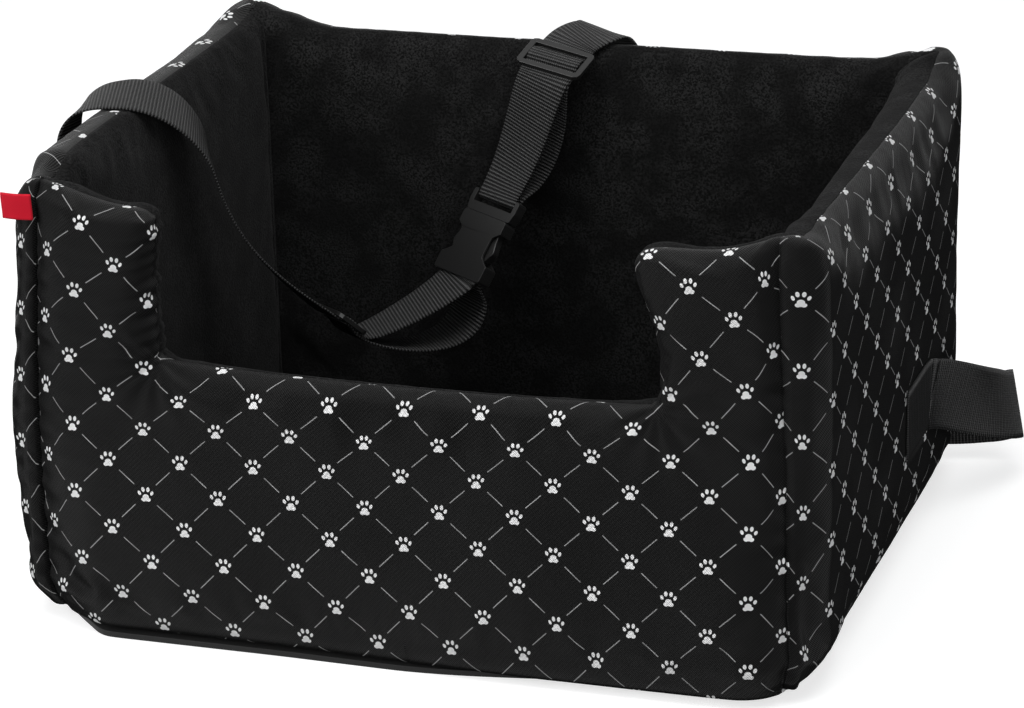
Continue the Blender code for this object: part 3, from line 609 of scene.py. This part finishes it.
rest = shaped(points_of(shell.data))
body = bulged(rest)
set_points(shell.data, body)

# %% [markdown]
# ## Unrolling the cloth
#
# The print has to follow the cloth round edges without stretching. So each point gets its place on
# the flat, unrolled cloth: its distance round the box, and its distance up the wall and on over the
# rounded rim. Near an edge, the arc's length takes the place of the straight distance.

# %% Unrolled coordinates of the shell


def round_box(x, y, radius=0.014):
    """(distance round the box from the middle of the front, depth inside its outer faces)."""
    reach_x, reach_y = HALF_X - radius, HALF_Y - radius
    quarter = reach_x + reach_y + radius * math.pi / 2
    over_x, over_y = np.abs(x) - reach_x, np.abs(y) - reach_y
    on_end = over_y > over_x
    around = np.where(on_end, np.abs(x), quarter - np.abs(y))
    depth = radius - np.maximum(over_x, over_y)
    corner = (over_x > 0) & (over_y > 0)
    angle = np.arctan2(np.maximum(over_x, 0), np.maximum(over_y, 1e-9))
    around = np.where(corner, reach_x + radius * angle, around)
    depth = np.where(corner, radius - np.hypot(over_x, over_y), depth)
    around = np.where(y > 0, 2 * quarter - around, around)
    return np.sign(x) * around, np.maximum(depth, 0.0)


def outline_distance(x, y, z):
    """Distance inside the walls' upper outline, and the direction out of it (along, up)."""
    front = y < -INNER_Y - 0.004
    beside = np.where(x < 0, ENTRY_LEFT - x, x - ENTRY_RIGHT) + post_ear(x, z)
    distance = np.where(front & (beside <= 0), lip_height(x), TOP + rim_rise(x, y)) - z
    drop = np.maximum(LIP - z, 0)
    gap = np.hypot(beside, drop) + 1e-9
    nearer = front & (beside > 0) & (gap < distance)
    out_along = np.where(nearer, -np.sign(x) * beside / gap, 0.0)
    out_up = np.where(nearer, drop / gap, 1.0)
    return np.where(nearer, gap, distance), out_along, out_up


def unrolled(points):
    """Each point's place on the flat cloth, and how far it lies from the seam along the rim."""
    x, y, z = points.T
    around, depth = round_box(x, y)
    distance, out_along, out_up = outline_distance(x, y, z)
    angle = np.arctan2(np.maximum(EDGE - distance, 0), np.maximum(EDGE - depth, 1e-9))
    past = np.where(depth < EDGE, EDGE * angle, EDGE * math.pi / 2 + depth - EDGE) - EDGE
    past = np.where(distance >= EDGE, -distance, past)
    flat_across = around + out_along * (past + distance)
    flat_up = z + out_up * (past + distance)
    return np.stack([flat_across, flat_up], axis=1)


print("cloth: %.2f m round the box" % (2 * np.abs(unrolled(rest)[:, 0]).max()))

# %% [markdown]
# ## Webbing
#
# A strap is a flat ribbon bent along a route. The solid model already has that route: the four long
# edges of each plain strap. Walking along them gives the middle line and the direction across. A
# grid laid along it keeps the strap's width, and its UV map is simply the flat strap.

# %% Read a strap's route from its solid
def long_edges(cad):
    """The four long edges of a plain strap, each as its points from one end to the other."""
    bm = bmesh.new()
    bm.from_mesh(bpy.data.objects[cad].data)
    bmesh.ops.remove_doubles(bm, verts=bm.verts, dist=0.00001)
    sharp = {edge for edge in bm.edges if edge.calc_face_angle() > math.radians(75)}
    corners = [vert for vert in bm.verts if len(sharp.intersection(vert.link_edges)) == 3]
    first = corners[0]
    cap = sorted(corners, key=lambda vert: (vert.co - first.co).length)[:4]
    chains = []
    for corner in cap:
        chain, last = [corner], None
        while True:
            steps = [edge for edge in chain[-1].link_edges if edge in sharp and edge is not last]
            steps = [edge for edge in steps if edge.other_vert(chain[-1]) not in cap]
            if len(steps) != 1:
                break
            last = steps[0]
            chain.append(last.other_vert(chain[-1]))
        chains.append([vert.co.copy() for vert in chain])
    bm.free()
    return chains


def strap_route(cad):
    """Rows of a middle point and the direction across, and the strap's width and thickness."""
    chains = np.array([[tuple(point) for point in chain] for chain in long_edges(cad)])
    gaps = np.linalg.norm(chains[:, 0] - chains[0, 0], axis=1)
    order = np.argsort(gaps)
    near_side = chains[order[:2]].mean(axis=0)
    far_side = chains[order[2:]].mean(axis=0)
    across = far_side - near_side
    width = np.linalg.norm(across, axis=1)
    rows = np.hstack([(near_side + far_side) / 2, across / width[:, None]])
    thickness = gaps[order[1]]
    print(cad, "%.1f mm wide, %.1f mm thick" % (1000 * width.mean(), 1000 * thickness))
    return rows, width.mean(), thickness


# %% Lay a ribbon along its route
def smooth_route(rows, spacing):
    """Rows resampled at an even spacing along a smooth curve through them."""
    ends = np.vstack([2 * rows[0] - rows[1], rows, 2 * rows[-1] - rows[-2]])
    share = np.linspace(0, 1, 12, endpoint=False)[:, None]
    fine = []
    for a, b, c, d in zip(ends, ends[1:], ends[2:], ends[3:]):
        fine.append(0.5 * (2 * b + (c - a) * share + (2 * a - 5 * b + 4 * c - d) * share**2
                           + (3 * b - a - 3 * c + d) * share**3))
    fine = np.vstack(fine + [rows[-1:]])
    steps = np.linalg.norm(np.diff(fine[:, :3], axis=0), axis=1)
    along = np.concatenate([[0], np.cumsum(steps)])
    count = int(round(along[-1] / spacing)) + 1
    wanted = np.linspace(0, along[-1], count)
    even = np.stack([np.interp(wanted, along, fine[:, k]) for k in range(6)], axis=1)
    return even, along[-1]


def ribbon_frames(even):
    """The curve's points, its directions across, and its upward normals."""
    points, across = even[:, :3], even[:, 3:]
    tangents = np.gradient(points, axis=0)
    tangents /= np.linalg.norm(tangents, axis=1, keepdims=True)
    across = across - tangents * (across * tangents).sum(axis=1, keepdims=True)
    across /= np.linalg.norm(across, axis=1, keepdims=True)
    return points, across, np.cross(across, tangents)


def ribbon(name, cad, rib_pitch, material, columns=12, shift=(0.0, 0.0, 0.0), bend=None):
    """Webbing in the place of a plain strap; its sewn end moves out with the bulging side wall.

    A shift moves the end on the side wall back and up, and the end on the rear wall up. A bend's body
    and points are not used: with a bend, the strap's modifiers are applied and it rides on no body.
    """
    rows, width, thickness = strap_route(cad)
    at_side = 1 - smooth_step(rows[:, 1], 0.13, 0.19)
    at_rear = smooth_step(rows[:, 1], 0.17, 0.21) * (1 - smooth_step(np.abs(rows[:, 0]), 0.29, 0.33))
    rows[:, 1] += shift[0] * at_side
    rows[:, 2] += shift[1] * at_side + shift[2] * at_rear
    x, _, z = rows[:, :3].T.copy()
    on_wall = (1 - smooth_step(np.abs(x), 0.262, 0.305)) * (1 - smooth_step(z, 0.20, 0.262))
    rows[:, 0] += (bulged(rows[:, :3])[:, 0] - x) * on_wall
    even, length = smooth_route(rows, 0.0009)
    points, across, normals = ribbon_frames(even)
    bm = bmesh.new()
    bmesh.ops.create_grid(bm, x_segments=columns, y_segments=len(points) - 1, size=0.5)
    uv = bm.loops.layers.uv.new("cloth")
    for vert in bm.verts:
        row = int(round((vert.co.y + 0.5) * (len(points) - 1)))
        side = vert.co.x * width
        along = row / (len(points) - 1) * length
        for loop in vert.link_loops:
            loop[uv].uv = (side, along)
        selvedge = 1 - abs(vert.co.x * 2) ** 8
        lift = 0.00016 * math.sin(math.tau * along / rib_pitch) * selvedge
        vert.co = Vector(points[row] + across[row] * side + normals[row] * lift)
    bmesh.ops.recalc_face_normals(bm, faces=bm.faces)
    made = linked(name, bm, material)
    thickened(made, thickness)
    if bend is None:
        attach(made, "seat")
    else:
        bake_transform(applied(made))
    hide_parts(cad)
    print(name, "%.0f mm of webbing" % (length * 1000))
    return rows, width, thickness


# Each loop's side end moves forward and up, and its rear end down.
LOOP_SHIFT = (-0.062, 0.027, -0.010)
PLUG_BEND = ("plug", (0, 0.1400, 0.2800), (0, 0.1172, 0.2719))
WOVEN = [
    ribbon("woven_rear_strap", "rear_strap", 0.0024, strap_webbing, bend=PLUG_BEND),
    ribbon("woven_left_strap", "left_strap", 0.0024, strap_webbing),
    ribbon("woven_right_loop", "right_belt_loop", 0.0022, belt_webbing, shift=LOOP_SHIFT),
    ribbon("woven_left_loop", "left_belt_loop", 0.0022, belt_webbing, shift=LOOP_SHIFT),
]

# %% [markdown]
# ## Pressure against the seams
#
# Foam pushes the cover out and the seams hold it back. A cloth simulation does the same: the points
# on the seams are pinned, a little pressure swells the rest, and the cloth is slightly too large, so
# it wrinkles. How far a point may move is capped, because a foam slab isn't a balloon.

# %% Distance to the nearest seam, and the simulation


def past_rim(x, y):
    """How far a place lies outside the rim seam: sideways, and towards the front or rear."""
    return np.abs(x) - np.where(x < 0, RIM_X[-1], RIM_X[1]), np.abs(y) - RIM_Y


def past_upright(x):
    """How far a place lies on the corner's side of the upright seam in the front or rear wall."""
    return np.abs(x) - np.where(x < 0, UPRIGHT_X[-1], UPRIGHT_X[1])


def past_mitre(x, y):
    """Signed distance from the mitre that joins two walls' linings; it runs to the inner corner."""
    to_x, to_y = past_rim(x, y)
    reach_x = np.where(x < 0, RIM_X[-1], RIM_X[1]) - INNER_X
    reach_y = RIM_Y - INNER_Y
    return (to_x * reach_y - to_y * reach_x) / np.hypot(reach_x, reach_y)


def seam_distance(points):
    """Distance from the rim seam, the upright seams and the mitred inner corners."""
    x, y = points[:, 0], points[:, 1]
    to_x, to_y = past_rim(x, y)
    rim = np.abs(np.maximum(to_x, to_y))
    upright = np.where(to_y > 0, np.abs(past_upright(x)), 1.0)
    mitre = np.where((to_x < 0) & (to_y < 0), np.abs(past_mitre(x, y)), 1.0)
    return np.minimum(np.minimum(rim, upright), mitre)


def capped(moves, cap):
    """Moves that level off smoothly at a greatest length."""
    lengths = np.linalg.norm(moves, axis=1, keepdims=True) + 1e-12
    return moves / lengths * cap * np.tanh(lengths / cap)


def inflated(obj, pinned, cap, growth=0.02, pressure=4.0, frames=20):
    """How far each point moves when pressure swells the closed skin against its pins."""
    before = points_of(obj.data)
    pins = obj.vertex_groups.new(name="seams")
    pins.add([int(i) for i in np.flatnonzero(pinned)], 1.0, "REPLACE")
    cloth = obj.modifiers.new("pressure", "CLOTH")
    cloth.point_cache.frame_end = frames
    settings = cloth.settings
    settings.quality = 4
    settings.mass = 0.25
    settings.use_pressure = True
    settings.uniform_pressure_force = pressure
    settings.shrink_min = -growth
    settings.vertex_group_mass = pins.name
    settings.effector_weights.gravity = 0.0
    for frame_number in range(1, frames + 1):
        scene.frame_set(frame_number)
    swollen = obj.evaluated_get(bpy.context.evaluated_depsgraph_get())
    after = points_of(swollen.data)
    obj.modifiers.remove(cloth)
    obj.vertex_groups.clear()
    scene.frame_set(1)
    return capped(after - before, cap)


def normals_of(mesh):
    return vectors(mesh.vertex_normals)


def wavy(points, wavelength, seed):
    """A slow uneven wave between -1 and 1, the same every time."""
    wave = np.zeros(len(points))
    for k in range(5):
        turn = seed * 1.7 + k * 2.399
        direction = np.array([math.cos(turn), math.sin(turn), math.cos(turn * 1.3 + seed)])
        wave += np.sin(points @ direction * (math.tau / wavelength) * (1 + 0.23 * k) + turn * 3)
    return wave / 3.0


VALLEY_DEPTH = {-1: 0.005, 1: 0.007}
VALLEY_ROLL = 0.016


def valley_at(points):
    """How deep the cloth rolls in towards an upright seam, on the panel's side and on the corner's."""
    past = past_upright(points[:, 0])
    depth = np.where(points[:, 0] < 0, VALLEY_DEPTH[-1], VALLEY_DEPTH[1])
    panel_side = 1 - np.sqrt(1 - (1 - np.clip(-past / VALLEY_ROLL, 0, 1)) ** 2)
    corner_side = 1 - smooth_step(past, 0.0, 0.007)
    outside_face = smooth_step(np.abs(points[:, 1]), RIM_Y, RIM_Y + 0.010)
    return depth * np.where(past < 0, panel_side, 0.35 * corner_side) * outside_face


near_seam = seam_distance(rest)
foot = rest[:, 2] < FOOT + 0.02
moves = inflated(shell, (near_seam < 0.003) | foot, 0.004)
print("pressure moves the skin by up to %.1f mm" % (1000 * np.linalg.norm(moves, axis=1).max()))
fullness = (0.0018 + 0.0009 * wavy(rest, 0.16, 3)) * (1 - np.exp(-near_seam / 0.025))
moves = moves + normals_of(shell.data) * fullness[:, None]

# %% One subdivision, then the cuts along the seams
FOAM_DEPTH = 0.0055


def subdivided_points(obj, points):
    """An object's points after one smooth subdivision, from other positions of its own points."""
    set_points(obj.data, points)
    smoother = subdivided(obj)
    finer = points_of(obj.evaluated_get(bpy.context.evaluated_depsgraph_get()).data)
    obj.modifiers.remove(smoother)
    return finer


set_points(shell.data, body + moves)
core = shell.copy()
core.data = shell.data.copy()
core.name = "core"
scene.collection.objects.link(core)
drawn_in = body + moves - normals_of(shell.data) * FOAM_DEPTH
drawn_in[:, 1] -= np.sign(rest[:, 1]) * valley_at(rest) * 1.1
set_points(core.data, drawn_in)
finer_full = subdivided_points(shell, body + moves)
finer_rest = subdivided_points(shell, rest)
subdivided(shell)
applied(shell)

skin = bmesh.new()
skin.from_mesh(shell.data)
offset = skin.verts.layers.float_vector.new("offset")
for vert, move in zip(skin.verts, finer_full - finer_rest):
    vert[offset] = move


def cut(bm, place, normal, near):
    """Cuts along a plane the faces whose middle passes a test of its x and y."""
    faces = [face for face in bm.faces if near(*face.calc_center_median().xy)]
    verts = {vert for face in faces for vert in face.verts}
    edges = {edge for face in faces for edge in face.edges}
    bmesh.ops.bisect_plane(bm, geom=[*verts, *edges, *faces], dist=1e-5, plane_co=place, plane_no=normal)


def mitre_normal(side, end):
    """The direction that leads from the front or rear wall's end of a mitre to the side wall's."""
    return (side * (RIM_Y - INNER_Y), -end * (RIM_X[side] - INNER_X), 0)


for side in (-1, 1):
    seam = side * RIM_X[side]
    cut(skin, (seam, 0, 0), (1, 0, 0), lambda x, y: abs(x - seam) < CELL)
for end in (-1, 1):
    seam = end * RIM_Y
    cut(skin, (0, seam, 0), (0, 1, 0), lambda x, y: abs(y - seam) < CELL)
for side in (-1, 1):
    seam = side * UPRIGHT_X[side]
    cut(skin, (seam, 0, 0), (1, 0, 0), lambda x, y: abs(x - seam) < CELL and abs(y) > RIM_Y)
for side in (-1, 1):
    for end in (-1, 1):
        cut(skin, (side * RIM_X[side], end * RIM_Y, 0), mitre_normal(side, end),
            lambda x, y: INNER_X - 0.02 < side * x < RIM_X[side] and 0 < end * y < RIM_Y
            and abs(past_mitre(x, y)) < 1.5 * CELL)
skin.to_mesh(shell.data)
skin.free()
print("cut skin:", len(shell.data.polygons), "faces")

# %% Press the skin below the webbing, and draw in the seams


def pressed(points, normals, rows, width, thickness):
    """How far each point has to sink, so that the webbing lies on the skin and not in it."""
    even, _ = smooth_route(rows, 0.003)
    middle, across, _ = ribbon_frames(even)
    sides = np.linspace(-0.5, 0.5, 15) * width
    samples = (middle[:, None, :] + across[:, None, :] * sides[None, :, None]).reshape(-1, 3)
    tree = KDTree(len(samples))
    for index, sample in enumerate(samples):
        tree.insert(sample, index)
    tree.balance()
    low, high = samples.min(axis=0) - 0.012, samples.max(axis=0) + 0.012
    sink = np.zeros(len(points))
    for index in np.flatnonzero(((points > low) & (points < high)).all(axis=1)):
        spot, _, gap = tree.find(points[index])
        step = Vector(spot) - Vector(points[index])
        height = step.dot(Vector(normals[index]))
        beside = math.sqrt(max(gap * gap - height * height, 0))
        if beside < 0.006 and -0.013 < height < 0.0022:
            ease = 1 - max(beside - 0.002, 0) / 0.004
            sink[index] = (thickness / 2 + 0.0008 - height) * ease
    return np.maximum(sink, 0)


rest = points_of(shell.data)
full = rest + vectors(shell.data.attributes["offset"].data)
set_points(shell.data, full)
normals = normals_of(shell.data)
near_seam = seam_distance(rest)
groove = 0.0014 * np.exp(-(near_seam / 0.0035) ** 2)
outside_face = smooth_step(np.abs(rest[:, 1]), RIM_Y, RIM_Y + 0.010)
full = full - normals * groove[:, None]
full[:, 1] -= np.sign(rest[:, 1]) * valley_at(rest)
along = rest * (0.15, 0.15, 1.0)
pucker = 0.0013 * np.exp(-np.abs(past_upright(rest[:, 0])) / 0.012) * wavy(along, 0.023, 7) * outside_face
in_entry_edge = (rest[:, 1] < -INNER_Y) & (rest[:, 2] > LIP)
from_post_edge = np.where(rest[:, 0] < 0, ENTRY_LEFT - rest[:, 0], rest[:, 0] - ENTRY_RIGHT)
from_post_edge = from_post_edge + post_ear(rest[:, 0], rest[:, 2])
gather_depth = np.where(rest[:, 0] < 0, 0.0014, 0.0005) * np.exp(-np.clip(from_post_edge, 0, 1) / 0.020)
gathers = gather_depth * wavy(along, 0.016, 4) * in_entry_edge
pulls = np.zeros(len(rest))
for corner_x, side in ((ENTRY_LEFT, -1), (ENTRY_RIGHT, 1)):
    out, down = side * (rest[:, 0] - corner_x), LIP - rest[:, 2]
    turn = np.arctan2(down, out)
    reach = np.hypot(out, down)
    pulls += 0.0016 * np.exp(-reach / 0.030) * smooth_step(reach, 0, 0.012) * np.sin(turn * 11 + 1.2 * side)
full = full + normals * (pucker + gathers + pulls * (rest[:, 1] < -INNER_Y))[:, None]
set_points(shell.data, full)
normals = normals_of(shell.data)
sink = np.zeros(len(full))
for rows, width, thickness in WOVEN:
    sink = np.maximum(sink, pressed(full, normals, rows, width, thickness))
full = full - normals * sink[:, None]
set_points(shell.data, full)
print("the webbing presses %d points in, by up to %.1f mm" % ((sink > 0).sum(), 1000 * sink.max()))

# %% Separate the sewn panels
CLOTH_THICKNESS = 0.0011
SIDE_START = 0.2495
SIDE_CORNER = 0.2680
SIDE_SHARE = 0.88


def panel_of(x, y):
    to_x, to_y = past_rim(x, y)
    side = "left" if x < 0 else "right"
    end = "front" if y < 0 else "rear"
    if to_x < 0 and to_y < 0:
        return (side if past_mitre(x, y) > 0 else end) + "_lining"
    on_end = to_y > 0 and past_upright(x) < 0
    return (end if on_end else side) + "_cover"


def flat_cloth(cad, place):
    """The panel's own flat coordinates, shifted to where the print lies on it."""
    flat = unrolled(place)
    moved = bulged(place) - place
    if cad == "front_cover":
        x, _, z = place.T
        roll = 0.0065 * (1 - smooth_step(-past_upright(x), 0, VALLEY_ROLL))
        lean = 0.15 * np.clip(z - LIP, 0, None)
        drift = 0.0105 * (1 - smooth_step(z, -0.01, 0.14)) * (1.1 - 0.75 * smooth_step(x, 0, 0.22))
        across = moved[:, 0] + (roll + lean) * np.sign(x) - drift
        tilt = np.where(x < 0, 0.19 * (x + 0.2142) * smooth_step(-x, 0.12, 0.17),
                        0.117 * (0.199 - x) * smooth_step(x, 0.10, 0.15))
        up = 0.38 * moved[:, 1] + tilt * smooth_step(z, 0.13, 0.20) + 0.0022 * smooth_step(x, 0.05, 0.15)
        flat += np.stack([across, up], axis=1)
    elif cad.startswith("rear"):
        flat[:, 0] = -place[:, 0]
    elif cad == "right_cover":
        past = np.maximum(flat[:, 0] - SIDE_CORNER, 0)
        flat[:, 0] += LATTICE_START[0] - SIDE_START - past * (1 - SIDE_SHARE)
        flat[:, 1] += 0.0016 + 0.070 * flat[:, 0]
    elif cad == "left_cover":
        on_strip = flat[:, 0] > -HALF_X + 0.006
        turned = np.where(on_strip, 1.8, SIDE_SHARE) * (flat[:, 0] + HALF_X - 0.006)
        flat[:, 0] = LATTICE_START[0] + turned
        flat[:, 1] += 0.004
    return flat


centres = np.zeros(len(shell.data.polygons) * 3)
for polygon in shell.data.polygons:
    centres[3 * polygon.index:3 * polygon.index + 3] = rest[list(polygon.vertices)].mean(axis=0)
panel_names = [panel_of(x, y) for x, y, _ in centres.reshape(-1, 3)]
kept_place = shell.data.attributes.new("rest_place", "FLOAT_VECTOR", "POINT")
kept_place.data.foreach_set("vector", rest.astype(np.float32).ravel())


def sewn_panel(name, cad, material):
    """One panel of the skin, with its own unrolled coordinates and the cloth's thickness."""
    bm = bmesh.new()
    bm.from_mesh(shell.data)
    bm.faces.ensure_lookup_table()
    others = [face for face, panel in zip(bm.faces, panel_names) if panel != cad]
    bmesh.ops.delete(bm, geom=others, context="FACES")
    made = linked(name, bm, material)
    mesh = made.data
    flat = flat_cloth(cad, vectors(mesh.attributes["rest_place"].data))
    corners = np.empty(len(mesh.loops), dtype=np.int32)
    mesh.loops.foreach_get("vertex_index", corners)
    uv = mesh.uv_layers.new(name="cloth")
    uv.data.foreach_set("uv", flat[corners].astype(np.float32).ravel())
    for extra in ("offset", "rest_place"):
        mesh.attributes.remove(mesh.attributes[extra])
    thickened(made, CLOTH_THICKNESS, -1.0)
    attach(made, "seat")
    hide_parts(cad)
    return made


for wall in ("front", "rear", "left", "right"):
    cover = sewn_panel("sewn_" + wall + "_cover", wall + "_cover", printed_twill)
    lining = sewn_panel("sewn_" + wall + "_lining", wall + "_lining", black_plush)
    print(wall, "wall:", len(cover.data.polygons), "+", len(lining.data.polygons), "faces")

# %% [markdown]
# ## Foam
#
# The foam slabs can't be seen, but they belong to the seat, and they show where the cover's shape
# comes from. Each is a part of the same skin, drawn in by the cloth's thickness, cut off at the
# mitred corners and closed there.

# %% Foam slabs inside the cover


def foam_slab(wall):
    """One wall's foam: the plain skin drawn in, cut at both mitres and capped."""
    bm = bmesh.new()
    bm.from_mesh(core.data)
    if wall in ("front", "rear"):
        end = -1 if wall == "front" else 1
        planes = [(side, end, Vector(mitre_normal(side, end))) for side in (-1, 1)]
    else:
        side = -1 if wall == "left" else 1
        planes = [(side, end, -Vector(mitre_normal(side, end))) for end in (-1, 1)]
    for side, end, outwards in planes:
        place = Vector((side * RIM_X[side], end * RIM_Y, 0)) - outwards.normalized() * 0.0008
        bmesh.ops.bisect_plane(bm, geom=[*bm.verts, *bm.edges, *bm.faces], dist=1e-5, plane_co=place,
                               plane_no=outwards, clear_outer=True)
    open_edges = [edge for edge in bm.edges if edge.is_boundary]
    bmesh.ops.holes_fill(bm, edges=open_edges)
    bmesh.ops.triangulate(bm, faces=[face for face in bm.faces if len(face.verts) > 4])
    made = linked(wall + "_foam_slab", bm, grey_foam)
    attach(made, "seat")
    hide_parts(wall + "_foam")
    print(made.name, len(made.data.polygons), "faces")


for wall in ("front", "rear", "left", "right"):
    foam_slab(wall)
bpy.data.objects.remove(core)
bpy.data.objects.remove(shell)

# %% [markdown]
# ## Base, cushion and tag
#
# The base is a flat sewn panel whose edge shows under the print. The cushion on the floor is a block
# that pressure has crowned between its seams. The tag is a ribbon folded once, with both ends sewn
# into the front left seam.

# %% Sewn base
low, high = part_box("base_panel")
base_bm = bmesh.new()
bmesh.ops.create_grid(base_bm, x_segments=130, y_segments=100, size=0.5)
thickness = high.z - low.z
BASE_RADIUS = 0.045
BASE_HALF = np.array([HALF_X - 0.010, HALF_Y - 0.004])
BASE_SQUARE = BASE_HALF - BASE_RADIUS
spots = np.array([tuple(vert.co) for vert in base_bm.verts]) * (*(2 * BASE_HALF), 0)
share = np.clip((np.abs(spots[:, :2]) - BASE_SQUARE) / BASE_RADIUS, 0, 1)
round_share = share * np.sqrt(1 - share[:, ::-1] ** 2 / 2)
spots[:, :2] -= np.sign(spots[:, :2]) * (share - round_share) * BASE_RADIUS
inset_front = 0.010 * smooth_step(spots[:, 0], -0.02, 0.12) * smooth_step(-spots[:, 1], 0.0, BASE_HALF[1])
spots[:, 1] += inset_front
spots[:, 2] = FOOT + 0.006
spots = bulged(spots)
for vert, spot in zip(base_bm.verts, spots):
    vert.co = Vector((spot[0], spot[1], max(spot[2] - FOOT - 0.006, 0) + thickness / 2))
sewn_base = linked("sewn_base", base_bm, base_cloth)
thickened(sewn_base, thickness)
round_edge = sewn_base.modifiers.new("round edge", "BEVEL")
round_edge.width = thickness * 0.4
round_edge.segments = 3
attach(sewn_base, "seat")
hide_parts("base_panel")

# %% Floor cushion
low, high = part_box("floor_pad")
pad_bm = bmesh.new()
add_block(pad_bm, low + Vector((0.002, 0.002, 0)), high - Vector((0.002, 0.002, 0.003)), 0.009)
cushion = relaxed(evened(linked("floor_cushion", pad_bm), 0.005), 2)
flat_pad = points_of(cushion.data)
middle = np.array((low + high) / 2)
half = np.array((high - low) / 2)
inset = np.minimum(half[0] - np.abs(flat_pad[:, 0] - middle[0]), half[1] - np.abs(flat_pad[:, 1] - middle[1]))
side_seam = (inset < 0.006) & (np.abs(flat_pad[:, 2] - middle[2]) < 0.004)
underside = flat_pad[:, 2] < low.z + 0.004
pad_moves = inflated(cushion, side_seam | underside, 0.006)
crown = 0.004 * (1 - np.exp(-np.clip(inset, 0, 1) / 0.05)) * (flat_pad[:, 2] > middle[2])
pad_moves[:, 2] += crown
set_points(cushion.data, flat_pad + pad_moves)
subdivided(cushion)
cushion.data.materials.append(black_plush)
cushion.data.shade_smooth()
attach(cushion, "seat")
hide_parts("floor_pad")
print("cushion:", len(cushion.data.polygons), "faces")

# %% Folded red tag
low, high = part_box("side_tag")
tag_bm = bmesh.new()
bmesh.ops.create_grid(tag_bm, x_segments=48, y_segments=14, size=0.5)
uv = tag_bm.loops.layers.uv.new("cloth")
tag_length, tag_height = high.x - low.x, high.z - low.z
fold = 0.0006
round_part = fold * math.pi / 2
for vert in tag_bm.verts:
    along = vert.co.x * 2 * tag_length
    up = vert.co.y * tag_height
    for loop in vert.link_loops:
        loop[uv].uv = (along, up)
    turn = max(-1.0, min(1.0, along / round_part)) * math.pi / 2
    out = tag_length - abs(along)
    if abs(along) <= round_part:
        out = tag_length - fold + fold * math.cos(turn)
    curl = 0.0012 * math.sin(math.pi * out / tag_length) + 0.0006 * math.sin(3 * up / tag_height)
    vert.co = Vector((high.x - out, (low.y + high.y) / 2 - fold * math.sin(turn) - curl,
                      (low.z + high.z) / 2 + up))
bmesh.ops.recalc_face_normals(tag_bm, faces=tag_bm.faces)
tag = linked("folded_tag", tag_bm, red_ribbon)
thickened(tag, 0.0004)
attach(tag, "seat")
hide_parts("side_tag")

# %% Finishes for the solid pieces that stay
MOULDED = ("plug", "socket", "plug_left_arm", "plug_right_arm", "rear_slider", "left_slider")
for cad in ("base_board", *MOULDED):
    solid = bpy.data.objects[cad]
    for slot in solid.material_slots:
        slot.material = black_plastic if cad in MOULDED else grey_board
    if cad in MOULDED:
        weld = solid.modifiers.new("weld", "WELD")
        weld.merge_threshold = 0.00001
        soft_edges = solid.modifiers.new("soft edges", "BEVEL")
        soft_edges.width = 0.0004
        soft_edges.segments = 2
        soft_edges.limit_method = "ANGLE"
        soft_edges.angle_limit = math.radians(35)
        soft_edges.harden_normals = True

# %% Print the size of the scene next to the solid model's
my_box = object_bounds()
sizes = {"solid": [list(c) for c in cad_box], "scene": [list(c) for c in my_box]}
for label, corners in sizes.items():
    print(label, [[round(float(v), 4) for v in corner] for corner in corners])
